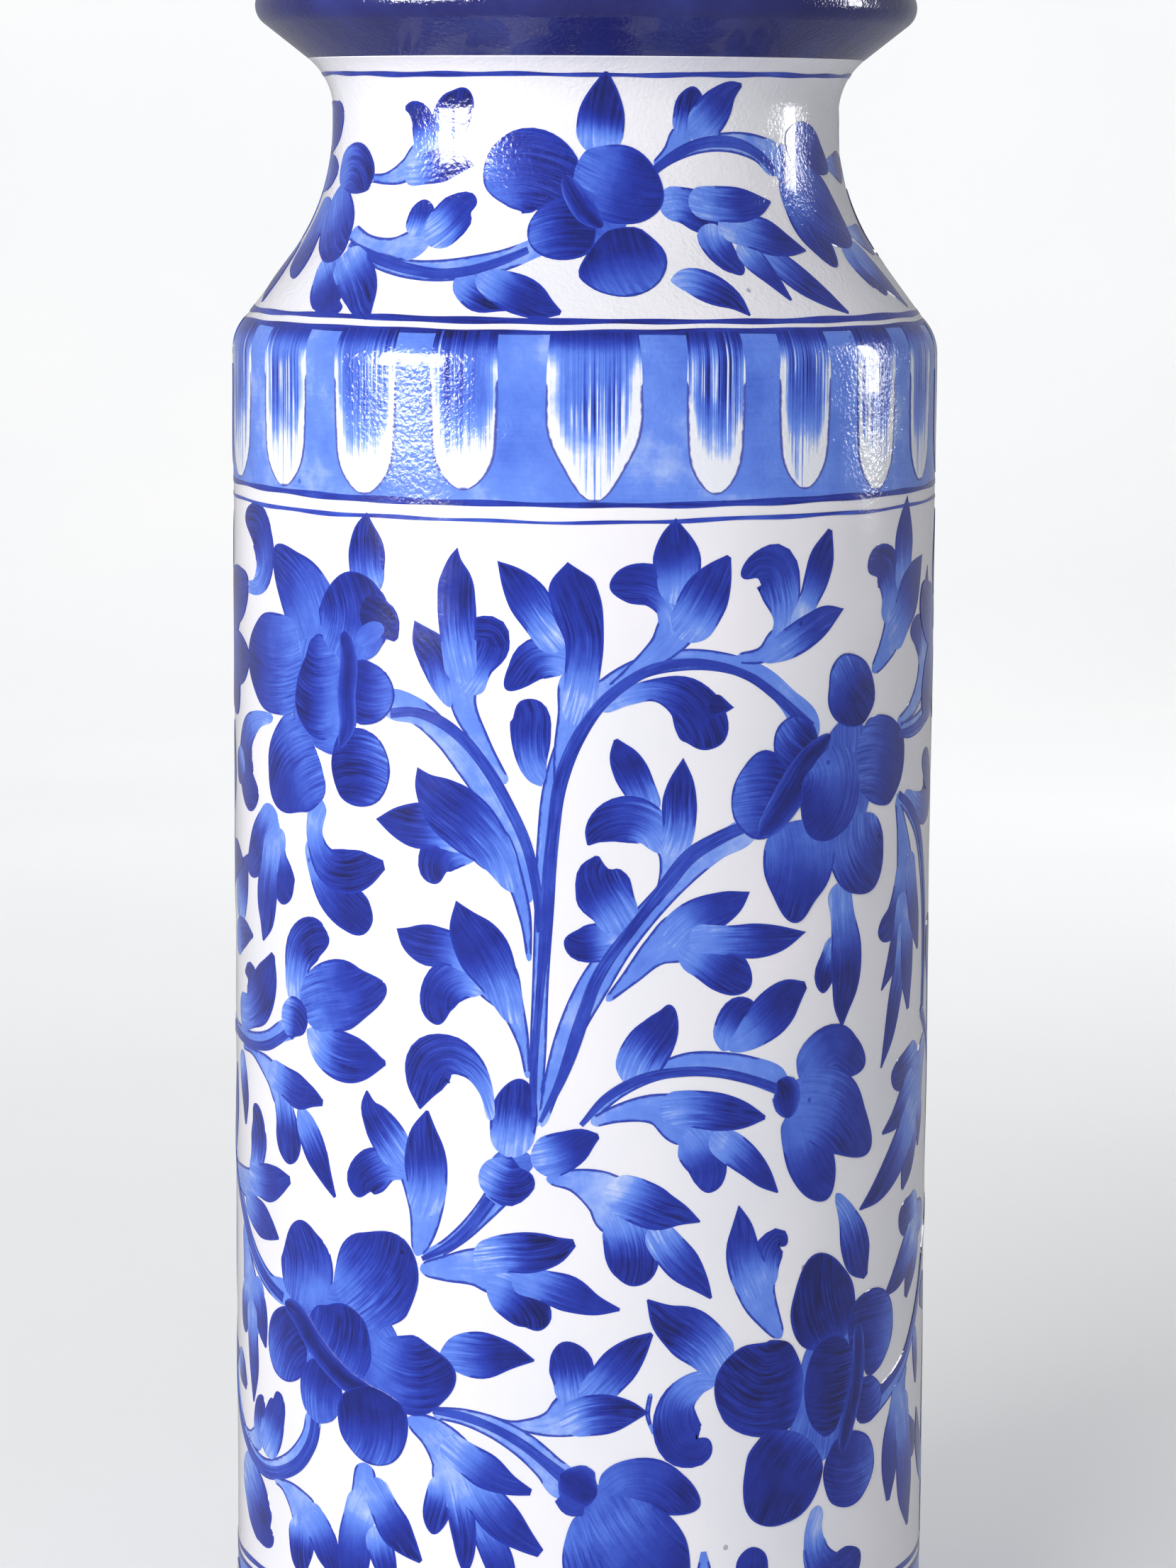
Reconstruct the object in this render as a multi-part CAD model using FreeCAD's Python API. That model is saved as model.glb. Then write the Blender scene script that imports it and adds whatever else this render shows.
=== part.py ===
"""Tall glazed pottery vase, built as a potter builds it.

Clay sections are luted together with slip at stepped joints, and the fired body carries separate
coats of glaze: white outside, cobalt at the mouth and foot, clear white inside and under the base.
Millimetres, +Z up, origin at the centre of the face that the foot stands on.
"""

import FreeCAD
import Part
import math
import os

# ---- driving dimensions, measured over the glaze ----
BODY_RADIUS = 75.0  # straight cylindrical wall
FOOT_RADIUS = 71.0  # outside of the foot
FOOT_HEIGHT = 4.0  # from the ground to the heel
FOOT_WIDTH = 10.0  # radial width of the clay foot ring
FOOT_CHAMFER = 1.0
HEEL_ARC = 4.0  # convex heel between foot and wall
SHOULDER_START = 303.5  # height at which the straight wall ends
SHOULDER_ARC = 10.4
SHOULDER_SLOPE = math.radians(36.6)  # lean of the shoulder cone from vertical
NECK_ARC = 45.7  # long concave curve below the waist
WAIST_RADIUS = 53.6  # narrowest part of the neck
WAIST_BAND = 3.0  # short straight stretch at the waist
FLARE_ARC = 14.1  # tight concave curve above the waist
FLARE_SLOPE = math.radians(52)  # lean of the mouth cone from vertical
MOUTH_RADIUS = 70.0  # widest point of the rolled lip
LIP_ARC = 4.7  # radius of the rolled lip's section

WALL = 6.0  # clay thickness of the wall
COAT = 0.4  # glaze thickness
FLOOR_TOP = 14.0  # clay floor inside
FLOOR_ARC = 8.0  # hollow corner between floor and wall

RIM_GLAZE_EDGE = 364.9  # the cobalt mouth glaze stops here, inside and outside
FOOT_GLAZE_TOP = 11.0  # the cobalt foot band ends here
BARE_FOOT = 1.5  # the foot is wiped clean of glaze up to here

SEAM = 0.6  # slip between two sections
STEP = 2.0  # height of the step in each luted joint
BASE_JOINT = 26.0
MID_WALL_JOINT = 162.0
SHOULDER_JOINT = 296.0
NECK_JOINT = 331.0
FLARE_JOINT = 356.0
LIP_JOINT = 371.5

REACH = 500.0  # larger than the vase, for cutting shapes
DOWN = -math.pi / 2

# ---- centres of the profile's arcs, shared by the clay and by every coat ----
CLAY_RADIUS = BODY_RADIUS - COAT
INSIDE_RADIUS = CLAY_RADIUS - WALL
HEEL_CENTRE = (BODY_RADIUS - HEEL_ARC, FOOT_HEIGHT + HEEL_ARC)
FLOOR_CENTRE = (INSIDE_RADIUS - FLOOR_ARC, FLOOR_TOP + FLOOR_ARC)
SHOULDER_CENTRE = (BODY_RADIUS - SHOULDER_ARC, SHOULDER_START)
shoulder_end_r = SHOULDER_CENTRE[0] + SHOULDER_ARC * math.cos(SHOULDER_SLOPE)
shoulder_end_z = SHOULDER_CENTRE[1] + SHOULDER_ARC * math.sin(SHOULDER_SLOPE)
neck_start_r = WAIST_RADIUS + NECK_ARC * (1 - math.cos(SHOULDER_SLOPE))
neck_start_z = shoulder_end_z + (shoulder_end_r - neck_start_r) / math.tan(SHOULDER_SLOPE)
NECK_CENTRE = (WAIST_RADIUS + NECK_ARC, neck_start_z + NECK_ARC * math.sin(SHOULDER_SLOPE))
FLARE_CENTRE = (WAIST_RADIUS + FLARE_ARC, NECK_CENTRE[1] + WAIST_BAND)
flare_end_r = FLARE_CENTRE[0] - FLARE_ARC * math.cos(FLARE_SLOPE)
flare_end_z = FLARE_CENTRE[1] + FLARE_ARC * math.sin(FLARE_SLOPE)
lip_start_r = MOUTH_RADIUS - LIP_ARC + LIP_ARC * math.cos(FLARE_SLOPE)
lip_start_z = flare_end_z + (lip_start_r - flare_end_r) / math.tan(FLARE_SLOPE)
LIP_CENTRE = (MOUTH_RADIUS - LIP_ARC, lip_start_z + LIP_ARC * math.sin(FLARE_SLOPE))
HEIGHT = LIP_CENTRE[1] + LIP_ARC


def arc(centre, radius, start, end):
    """Arc in the profile plane, from one angle to another about its centre (r, z)."""
    angles = (start, (start + end) / 2, end)
    return [(centre[0] + radius * math.cos(a), centre[1] + radius * math.sin(a)) for a in angles]


def turned(*stretches):
    """Solid of revolution about Z whose profile is points (r, z) and three-point arcs in order."""
    edges, corners = [], []
    for stretch in stretches:
        places = stretch if isinstance(stretch, list) else [stretch]
        vectors = [FreeCAD.Vector(r, 0, z) for r, z in places]
        if len(vectors) == 3:
            edges.append(Part.Arc(*vectors).toShape())
        corners.append((vectors[0], vectors[-1]))
    for (_, leave), (meet, _) in zip(corners, corners[1:] + corners[:1]):
        if leave.distanceToPoint(meet) > 1e-6:
            edges.append(Part.LineSegment(leave, meet).toShape())
    face = Part.Face(Part.Wire(Part.sortEdges(edges)[0]))
    return face.revolve(FreeCAD.Vector(0, 0, 0), FreeCAD.Vector(0, 0, 1), 360)


def ring(inner, outer, low, high):
    return turned((inner, low), (outer, low), (outer, high), (inner, high))


def lip_entry():
    """Direction, from the lip's centre, in which the inside wall meets the lip at a tangent."""
    across = LIP_CENTRE[0] - FLARE_CENTRE[0]
    rise = LIP_CENTRE[1] - FLARE_CENTRE[1]
    radii = (FLARE_ARC + COAT + WALL) - (LIP_ARC - COAT)
    return math.atan2(rise, across) + math.acos(radii / math.hypot(across, rise))


def vessel(coat):
    """The whole pot above its foot ring, with this much glaze on the clay, inside and outside."""
    skin = COAT - coat
    inner = COAT + WALL + coat
    lean = SHOULDER_SLOPE
    return turned(
        (0, FOOT_HEIGHT + skin),
        arc(HEEL_CENTRE, HEEL_ARC - skin, DOWN, 0),
        arc(SHOULDER_CENTRE, SHOULDER_ARC - skin, 0, lean),
        arc(NECK_CENTRE, NECK_ARC + skin, math.pi + lean, math.pi),
        arc(FLARE_CENTRE, FLARE_ARC + skin, math.pi, math.pi - FLARE_SLOPE),
        arc(LIP_CENTRE, LIP_ARC - skin, -FLARE_SLOPE, lip_entry()),
        arc(FLARE_CENTRE, FLARE_ARC + inner, lip_entry(), math.pi),
        arc(NECK_CENTRE, NECK_ARC + inner, math.pi, math.pi + lean),
        arc(SHOULDER_CENTRE, SHOULDER_ARC - inner, lean, 0),
        arc(FLOOR_CENTRE, FLOOR_ARC - coat, 0, DOWN),
        (0, FLOOR_TOP + coat),
    )


def below_joint(height, step_radius, gap):
    """Everything below a stepped joint: the lower section has a raised tongue on the inside."""
    low, high, edge = height + gap, height + STEP + gap, step_radius + gap
    return turned((0, -REACH), (REACH, -REACH), (REACH, low), (edge, low), (edge, high), (0, high))


def clay_sections(clay):
    """The thrown sections and the slip between them, from the base up: {node: solid}."""
    joints = [
        ("base_dish", "base_slip_seam", BASE_JOINT),
        ("lower_wall", "mid_wall_slip_seam", MID_WALL_JOINT),
        ("upper_wall", "shoulder_slip_seam", SHOULDER_JOINT),
        ("shoulder", "neck_slip_seam", NECK_JOINT),
        ("neck_collar", "flare_slip_seam", FLARE_JOINT),
        ("mouth_flare", "lip_slip_seam", LIP_JOINT),
    ]
    sections, rest = {}, clay
    for section, seam, height in joints:
        radii = [edge.BoundBox.XMax for edge in clay.slice(FreeCAD.Vector(0, 0, 1), height)]
        middle = sum(radii) / len(radii)
        for name, gap in ((section, 0), (seam, SEAM)):
            lower_part = below_joint(height, middle, gap)
            sections[name] = rest.common(lower_part)
            rest = rest.cut(lower_part)
    sections["lip_coil"] = rest
    return sections


def foot_ring():
    """Turned ring under the base, bare on the face that it stands on, with the slip above it."""
    outer = FOOT_RADIUS - COAT
    inner = outer - FOOT_WIDTH
    clay_heel = FOOT_HEIGHT + COAT
    clay = turned(
        (inner + FOOT_CHAMFER, 0),
        (outer - FOOT_CHAMFER, 0),
        (outer, FOOT_CHAMFER),
        (outer, clay_heel - SEAM),
        (inner, clay_heel - SEAM),
        (inner, FOOT_CHAMFER),
    )
    return {"foot_ring": clay, "foot_slip_seam": ring(inner, outer, clay_heel - SEAM, clay_heel)}


def under_glazes(coat):
    """The cobalt foot band round the heel, and the white coat inside the foot ring."""
    clay_foot = FOOT_RADIUS - COAT
    foot_inside = clay_foot - FOOT_WIDTH
    clay_heel = FOOT_HEIGHT + COAT
    heel = coat.common(ring(FOOT_RADIUS, REACH, 0, FOOT_GLAZE_TOP))
    sleeve = ring(clay_foot, FOOT_RADIUS, BARE_FOOT, clay_heel)
    lining = ring(foot_inside - COAT, foot_inside, BARE_FOOT, clay_heel)
    floor = ring(0, foot_inside - COAT, FOOT_HEIGHT, clay_heel)
    return {
        "cobalt_foot_glaze": heel.fuse(sleeve).removeSplitter(),
        "underside_glaze": floor.fuse(lining).removeSplitter(),
    }


def glazes(clay):
    """Every coat: a skin of even thickness on the clay, cut where two colours meet."""
    coat = vessel(COAT).cut(clay)
    below_rim = coat.common(ring(0, REACH, FOOT_GLAZE_TOP, RIM_GLAZE_EDGE))
    shells = sorted(below_rim.Solids, key=lambda solid: solid.BoundBox.XMax)
    return {
        "cobalt_rim_glaze": coat.common(ring(0, REACH, RIM_GLAZE_EDGE, REACH)),
        "liner_glaze": shells[0],
        "white_body_glaze": shells[-1],
        **under_glazes(coat),
    }


def main():
    os.makedirs("parts", exist_ok=True)
    clay = vessel(0)
    nodes = {**foot_ring(), **clay_sections(clay), **glazes(clay)}
    for name, shape in nodes.items():
        assert len(shape.Solids) == 1 and shape.isValid(), name
        solid = shape.Solids[0]
        solid.exportStep(f"parts/{name}.step")
        box = solid.optimalBoundingBox()
        print(f"{name:20s} z {box.ZMin:6.1f} to {box.ZMax:6.1f}  radius {box.XMax:5.2f}", end="")
        print(f"  volume {solid.Volume / 1000:7.2f} cm3")
    print(f"height {HEIGHT:.2f}")


main()
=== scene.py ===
"""The hand-painted pottery vase, dressed around its CAD frame.

The painting is laid out on the unrolled wall in millimetres: x runs round the wall from the
front to the right, at the wall's reference radius, and z is the height above the ground.
"""

import math
from collections import namedtuple
from functools import partial

import bpy
import numpy as np
from mathutils import Matrix, Vector


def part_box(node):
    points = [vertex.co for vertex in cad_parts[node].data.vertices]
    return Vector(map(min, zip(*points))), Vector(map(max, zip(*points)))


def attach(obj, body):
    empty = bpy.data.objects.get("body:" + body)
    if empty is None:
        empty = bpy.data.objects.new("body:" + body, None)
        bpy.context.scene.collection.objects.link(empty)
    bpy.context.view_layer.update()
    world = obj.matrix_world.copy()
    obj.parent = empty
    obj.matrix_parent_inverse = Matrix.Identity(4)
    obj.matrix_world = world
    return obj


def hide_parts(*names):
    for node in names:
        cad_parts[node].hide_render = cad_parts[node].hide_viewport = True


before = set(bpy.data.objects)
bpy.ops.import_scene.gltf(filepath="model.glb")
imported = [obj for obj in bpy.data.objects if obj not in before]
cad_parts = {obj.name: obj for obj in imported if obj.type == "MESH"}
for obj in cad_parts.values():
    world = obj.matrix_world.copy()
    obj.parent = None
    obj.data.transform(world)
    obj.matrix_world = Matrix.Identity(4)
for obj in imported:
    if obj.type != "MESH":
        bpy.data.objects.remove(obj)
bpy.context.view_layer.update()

bpy.context.scene.view_settings.view_transform = "Standard"

MM = 0.001

# ---- the outside's profile in millimetres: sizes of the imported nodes, and the section's arcs ----
WALL_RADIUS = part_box("white_body_glaze")[1][0] / MM
RIM_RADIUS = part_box("cobalt_rim_glaze")[1][0] / MM
RIM_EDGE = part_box("cobalt_rim_glaze")[0][2] / MM
FOOT_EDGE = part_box("cobalt_foot_glaze")[1][2] / MM
FOOT_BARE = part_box("cobalt_foot_glaze")[0][2] / MM
FOOT_RADIUS = 71.0
FOOT_HEIGHT = 4.0
HEEL_ARC = 4.0
SHOULDER_START = 303.5
SHOULDER_ARC = 10.4
SHOULDER_SLOPE = math.radians(36.6)
NECK_ARC = 45.7
WAIST_RADIUS = 53.6
WAIST_BAND = 3.0
FLARE_ARC = 14.1
FLARE_SLOPE = math.radians(52)
LIP_ARC = 4.7
GLAZE = 0.4  # thickness of a coat
CLAY = 6.0  # thickness of the wall
NECK_REFERENCE = 58.0  # radius at which the neck's painting is unrolled


def arc(centre, radius, start, end, count):
    turn = np.linspace(start, end, count)
    return np.column_stack([centre[0] + radius * np.cos(turn), centre[1] + radius * np.sin(turn)])


def arc_centres():
    """Centres (r, z) of the shoulder, the neck, the flare and the lip, each tangent to the next."""
    shoulder = (WALL_RADIUS - SHOULDER_ARC, SHOULDER_START)
    shoulder_r = shoulder[0] + SHOULDER_ARC * math.cos(SHOULDER_SLOPE)
    shoulder_z = shoulder[1] + SHOULDER_ARC * math.sin(SHOULDER_SLOPE)
    neck_r = WAIST_RADIUS + NECK_ARC * (1 - math.cos(SHOULDER_SLOPE))
    neck_z = shoulder_z + (shoulder_r - neck_r) / math.tan(SHOULDER_SLOPE)
    neck = (WAIST_RADIUS + NECK_ARC, neck_z + NECK_ARC * math.sin(SHOULDER_SLOPE))
    flare = (WAIST_RADIUS + FLARE_ARC, neck[1] + WAIST_BAND)
    flare_r = flare[0] - FLARE_ARC * math.cos(FLARE_SLOPE)
    lip_r = RIM_RADIUS - LIP_ARC + LIP_ARC * math.cos(FLARE_SLOPE)
    cone = (lip_r - flare_r) / math.tan(FLARE_SLOPE)
    lip = (RIM_RADIUS - LIP_ARC, flare[1] + (FLARE_ARC + LIP_ARC) * math.sin(FLARE_SLOPE) + cone)
    return shoulder, neck, flare, lip


def section():
    """The outside from the foot's bare edge up to the lip, and the way over the lip to the inside."""
    shoulder, neck, flare, lip = arc_centres()
    heel = (FOOT_RADIUS, FOOT_HEIGHT + HEEL_ARC)
    inside = FLARE_ARC + CLAY + 2 * GLAZE
    across, rise = lip[0] - flare[0], lip[1] - flare[1]
    entry = math.atan2(rise, across) + math.acos((inside - LIP_ARC) / math.hypot(across, rise))
    inner_end = math.pi - math.asin((RIM_EDGE - flare[1]) / inside)
    wall_heights = np.linspace(10, SHOULDER_START - 1, 150)
    outside = np.vstack([
        [(FOOT_RADIUS, FOOT_BARE), (FOOT_RADIUS, FOOT_HEIGHT - 0.2)],
        arc(heel, HEEL_ARC, -math.pi / 2 + 0.3, 0, 16),
        np.column_stack([wall_heights * 0 + WALL_RADIUS, wall_heights]),
        arc(shoulder, SHOULDER_ARC, 0, SHOULDER_SLOPE, 16),
        arc(neck, NECK_ARC, math.pi + SHOULDER_SLOPE, math.pi, 40),
        arc(flare, FLARE_ARC, math.pi, math.pi - FLARE_SLOPE, 20),
        arc(lip, LIP_ARC, -FLARE_SLOPE, 0, 14),
    ])
    over_lip = np.vstack([
        arc(lip, LIP_ARC, 0.06, entry, 30),
        arc(flare, inside, entry + 0.03, inner_end, 16),
    ])
    return outside, over_lip


OUTSIDE, OVER_LIP = section()


def between(low, high):
    """The outside's profile from one height to another."""
    heights = OUTSIDE[:, 1]
    ends = [(np.interp(z, heights, OUTSIDE[:, 0]), z) for z in (low, high)]
    middle = OUTSIDE[(heights > low + 0.05) & (heights < high - 0.05)]
    return np.vstack([ends[:1], middle, ends[1:]])


def throwing(turn, z):
    """How far the hand-thrown wall stands from a true turned form, in millimetres."""
    spiral = np.sin(z * 0.21 + turn) + 0.6 * np.sin(z * 0.083 - 2 * turn)
    sides = np.sin(3 * turn + z * 0.012) + 0.5 * np.sin(5 * turn - z * 0.02)
    return 0.030 * spiral + 0.045 * sides - 0.12


def wall_point(turn, z):
    radius = np.interp(z, OUTSIDE[:, 1], OUTSIDE[:, 0]) + throwing(turn, z)
    return np.stack([radius * np.sin(turn), -radius * np.cos(turn), z], axis=-1)


def on_wall(turn, z, lift):
    """Points in metres on the wall at these angles and heights, lifted off it, and their normals."""
    aside, above = 0.004, 0.4  # small steps that show the wall's slope
    around = wall_point(turn + aside, z) - wall_point(turn - aside, z)
    upward = wall_point(turn, z + above) - wall_point(turn, z - above)
    normals = np.cross(around, upward)
    normals /= np.linalg.norm(normals, axis=-1, keepdims=True)
    return (wall_point(turn, z) + normals * lift[..., None]) * MM, normals


# ---- meshes ----
def new_piece(name, vertices, faces, material, normals=None, fields=None):
    """A smooth piece on the vase, with its own normals and per-vertex fields where they are given."""
    mesh = bpy.data.meshes.new(name)
    mesh.from_pydata(vertices.tolist(), [], faces)
    mesh.update()
    for key, values in (fields or {}).items():
        kind = "FLOAT_VECTOR" if values.shape[1] == 3 else "FLOAT"
        made = mesh.attributes.new(key, kind, "POINT")
        made.data.foreach_set("vector" if values.shape[1] == 3 else "value", values.ravel())
    mesh.polygons.foreach_set("use_smooth", [True] * len(mesh.polygons))
    if normals is not None:
        mesh.normals_split_custom_set_from_vertices(normals.tolist())
    mesh.materials.append(material)
    piece = bpy.data.objects.new(name, mesh)
    bpy.context.scene.collection.objects.link(piece)
    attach(piece, "root")
    return piece


def round_faces(rows, around):
    """Faces of a closed tube: its rows go all the way round, and the last meets the first."""
    index = np.arange(rows * around).reshape(rows, around)
    up, beside = np.roll(index, -1, axis=0), np.roll(index, -1, axis=1)
    return np.stack([index, beside, np.roll(up, -1, axis=1), up], axis=-1).reshape(-1, 4).tolist()


def lathe(name, profile, material, around=360):
    """Closed coat of glaze: the profile is its outer face, and it is one glaze thickness deep."""
    tangent = np.gradient(profile, axis=0)
    tangent /= np.linalg.norm(tangent, axis=1)[:, None]
    inward = np.column_stack([-tangent[:, 1], tangent[:, 0]])
    line = np.vstack([profile, (profile + GLAZE * inward)[::-1]])
    turn = np.linspace(0, 2 * math.pi, around, endpoint=False)[None, :]
    height = np.repeat(line[:, 1][:, None], around, axis=1)
    radius = line[:, 0][:, None] + throwing(turn, height)
    points = np.stack([radius * np.sin(turn), -radius * np.cos(turn), height], axis=-1) * MM
    return new_piece(name, points.reshape(-1, 3), round_faces(len(line), around), material)


def both_sides(turn, z, lift):
    """The upper and lower face of paint on the wall, and the wall's normals there."""
    top, normals = on_wall(turn, z, np.full_like(z, lift))
    bottom, _ = on_wall(turn, z, np.full_like(z, -SINK))
    return top, bottom, normals


def pad(turn, z, lift, fields):
    """A thin closed pad on the wall over a grid of places: vertices, faces, normals, fields."""
    top, bottom, normals = both_sides(turn, z, lift)
    vertices = np.vstack([top.reshape(-1, 3), bottom.reshape(-1, 3)])
    count = z.size
    index = np.arange(count).reshape(z.shape)
    a, b, c, d = index[:-1, :-1], index[:-1, 1:], index[1:, 1:], index[1:, :-1]
    upper = np.stack([a, b, c, d], axis=-1).reshape(-1, 4)
    lower = np.stack([a, d, c, b], axis=-1).reshape(-1, 4) + count
    edge = np.concatenate([index[0, :-1], index[:-1, -1], index[-1, :0:-1], index[:0:-1, 0]])
    after = np.roll(edge, -1)
    side = np.stack([edge, edge + count, after + count, after], axis=-1)
    both = {key: np.vstack([value.reshape(count, -1)] * 2) for key, value in fields.items()}
    return vertices, np.vstack([upper, lower, side]), np.vstack([normals.reshape(-1, 3)] * 2), both


def folded(first, second):
    """Rows of the upper face, then rows of the lower face in turn from the last to the first."""
    count = first.shape[0] * first.shape[1]
    return np.vstack([first.reshape(count, -1), second[::-1].reshape(count, -1)])


def hoop(low, high, lift, load, bristle, seed, rows=4, around=420):
    """A closed pad that goes all the way round the wall, between two heights for each angle."""
    turn, z = np.meshgrid(np.linspace(0, 2 * math.pi, around, endpoint=False), np.linspace(0, 1, rows))
    z = low(turn) + (high(turn) - low(turn)) * z
    top, bottom, normals = both_sides(turn, z, lift)
    grain = np.stack([turn * WALL_RADIUS, z, z * 0 + seed], axis=-1)
    fields = {"load": z * 0 + load, "edge": z * 0 + FREE, "bristle": z * 0 + bristle, "grain": grain}
    both = {name: folded(value, value) for name, value in fields.items()}
    return folded(top, bottom), round_faces(2 * rows, around), folded(normals, normals), both


def painted(name, pads):
    """One piece made of several pads of paint."""
    starts = np.cumsum([0] + [len(part[0]) for part in pads[:-1]])
    vertices = np.vstack([part[0] for part in pads])
    faces = np.vstack([np.array(part[1]) + start for part, start in zip(pads, starts)]).tolist()
    normals = np.vstack([part[2] for part in pads])
    fields = {key: np.vstack([part[3][key] for part in pads]) for key in pads[0][3]}
    return new_piece(name, vertices, faces, BRUSH, normals, fields)


# ---- brush strokes ----
CELL = 1.1  # longest cell of a stroke's grid, in millimetres
SINK = 0.05  # how far the paint reaches into the glaze, in millimetres
PAINT = 0.03  # how far the lowest paint stands off the glaze
LAYER = 0.007  # each later stroke of a motif stands this much higher
FREE = 9.0  # a distance to the edge that shows no outline
UNDRAWN = 4.0  # what is added to that distance where a stroke's edge isn't drawn
THINNEST = 0.04  # half width of a stroke's finest point

# A brush leaves a round or a pointed tip. It carries one load of colour at the base and another at
# the tip, and changes between two shares of the stroke's length. The sweep is how far its bristle
# marks curve, and the cap how long its round start is, for the stroke's half width.
Brush = namedtuple("Brush", "round_tip base tip start end bristle outlined sweep cap")
BRUSHES = {
    "lobe": Brush(False, 0.15, 1.02, 0.12, 0.68, 0.42, True, 0.2, 0.9),
    "bulb": Brush(True, 0.15, 1.00, 0.14, 0.70, 0.42, True, 0.25, 0.9),
    "petal": Brush(True, 0.46, 1.00, 0.12, 0.82, 0.38, True, 0.5, 0.45),
    "cup": Brush(True, 1.04, 0.46, 0.28, 1.0, 0.40, True, 0.45, 0.45),
    "wash": Brush(False, 0.15, 0.15, 0.0, 1.0, 0.12, True, 0.0, 0.8),
    "fill": Brush(True, 0.46, 0.46, 0.0, 1.0, 0.30, False, 0.0, 1.0),
    "line": Brush(False, 0.76, 0.76, 0.0, 1.0, 0.35, False, 0.0, None),
    "dab": Brush(True, 1.10, 1.10, 0.0, 1.0, 0.30, False, 0.0, 1.0),
    "tongue": Brush(True, 0.42, -0.36, 0.36, 1.00, 1.60, True, 0.0, None),
}


def smooth(low, high, value):
    """From 0 at low to 1 at high, with a soft start and end."""
    share = np.clip((value - low) / (high - low), 0, 1)
    return share * share * (3 - 2 * share)


def through(points, share):
    """A smooth curve through the points at these shares of its length: places, slopes, length."""
    steps = np.maximum(np.linalg.norm(np.diff(points[:, :2], axis=0), axis=1), 1e-3)
    at = np.concatenate([[0], np.cumsum(steps)])
    slopes = np.gradient(points, at, axis=0)
    where = share * at[-1]
    k = np.clip(np.searchsorted(at, where, side="right") - 1, 0, len(points) - 2)
    span = (at[k + 1] - at[k])[:, None]
    u = (where - at[k])[:, None] / span
    start, end = points[k], points[k + 1]
    leave, meet = slopes[k] * span, slopes[k + 1] * span
    place = (2 * u**3 - 3 * u**2 + 1) * start + (u**3 - 2 * u**2 + u) * leave
    place += (3 * u**2 - 2 * u**3) * end + (u**3 - u**2) * meet
    slope = (6 * u**2 - 6 * u) * (start - end) + (3 * u**2 - 4 * u + 1) * leave
    slope += (3 * u**2 - 2 * u) * meet
    return place, slope / span, at[-1]


def stroke(kind, *points, dark=None):
    """A stroke through points given as (x, z, half width), from base to tip."""
    return kind, np.array(points, dtype=float), dark


lobe = partial(stroke, "lobe")
bulb = partial(stroke, "bulb")
petal = partial(stroke, "petal")
cup = partial(stroke, "cup")
fill = partial(stroke, "fill")
wash = partial(stroke, "wash")
line = partial(stroke, "line")
dab = partial(stroke, "dab")


def outline_distance(kind, half, across, along, length):
    """How far each place is from the stroke's drawn edge, in millimetres."""
    brush = BRUSHES[kind]
    if not brush.outlined:
        return along * 0 + FREE
    edge = half[:, None] * (1 - np.abs(across))
    if brush.round_tip:
        edge = np.minimum(edge, (1 - along) * length + 0.02)
    if kind == "wash":
        return edge + UNDRAWN * (smooth(0.80, 0.90, along) + smooth(0.05, 0.0, along))
    if kind == "cup":
        return edge
    return edge + UNDRAWN * smooth(0.34, 0.14, along)


def rounded_start(kind, half, t, length):
    """Half widths with the round start that a brush leaves."""
    cap = BRUSHES[kind].cap
    if cap is None:
        return half
    reach = max(cap * np.interp(0.15, t, half), 0.4)
    share = np.clip(t * length / reach, 0, 1)
    return half * np.sqrt(1 - (1 - share) ** 2)


def brush_outline(kind, points):
    """The points to draw through, and whether the tip is round."""
    shape = points.copy()
    rounded = BRUSHES[kind].round_tip
    wide = 2.0
    if kind in ("lobe", "bulb") and points[0, 2] >= wide:
        shape[0, 2] = max(points[0, 2], 0.8 * points[1:3, 2].max())
    if kind == "wash" and points[-1, 2] >= wide:
        ahead = points[-1, :2] - points[-2, :2]
        ahead *= points[-1, 2] / np.linalg.norm(ahead)
        shape = np.vstack([shape, [*(points[-1, :2] + ahead), 0]])
        rounded = True
    if rounded:
        shape[-1, 2] = 0
    return shape, rounded


def stroke_load(mark, along, across):
    """How much colour the brush leaves at each place."""
    kind, _, dark = mark
    _, base, tip, start, end, *_ = BRUSHES[kind]
    if dark is not None:
        start, end, tip = dark, dark + 0.4, tip + 0.08
    load = base + (tip - base) * smooth(start, end, along)
    if kind == "tongue":
        load = load + 0.6 * smooth(0.14, 0.0, along)
        load = load - 0.7 * smooth(0.5, 1, np.abs(across)) * smooth(0.05, 0.25, along)
    if kind == "dab":
        load = load - 0.5 * across**2
    return load


def brush_path(kind, points):
    """The stroke's centre line: shares of its length, places, headings, half widths, length."""
    shape, rounded = brush_outline(kind, points)
    if rounded:
        shape[:, 2] = shape[:, 2] ** 2
    rough_length = np.linalg.norm(np.diff(shape[:, :2], axis=0), axis=1).sum()
    t = (1 - np.cos(np.linspace(0, math.pi, max(13, int(1.4 * rough_length / CELL) + 1)))) / 2
    place, slope, length = through(shape, t)
    half = np.maximum(place[:, 2], 0)
    half = np.sqrt(half) if rounded else half
    half = np.maximum(rounded_start(kind, half, t, length), THINNEST)
    heading = slope[:, :2] / np.linalg.norm(slope[:, :2], axis=1)[:, None]
    return t, place, heading, half, length


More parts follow.
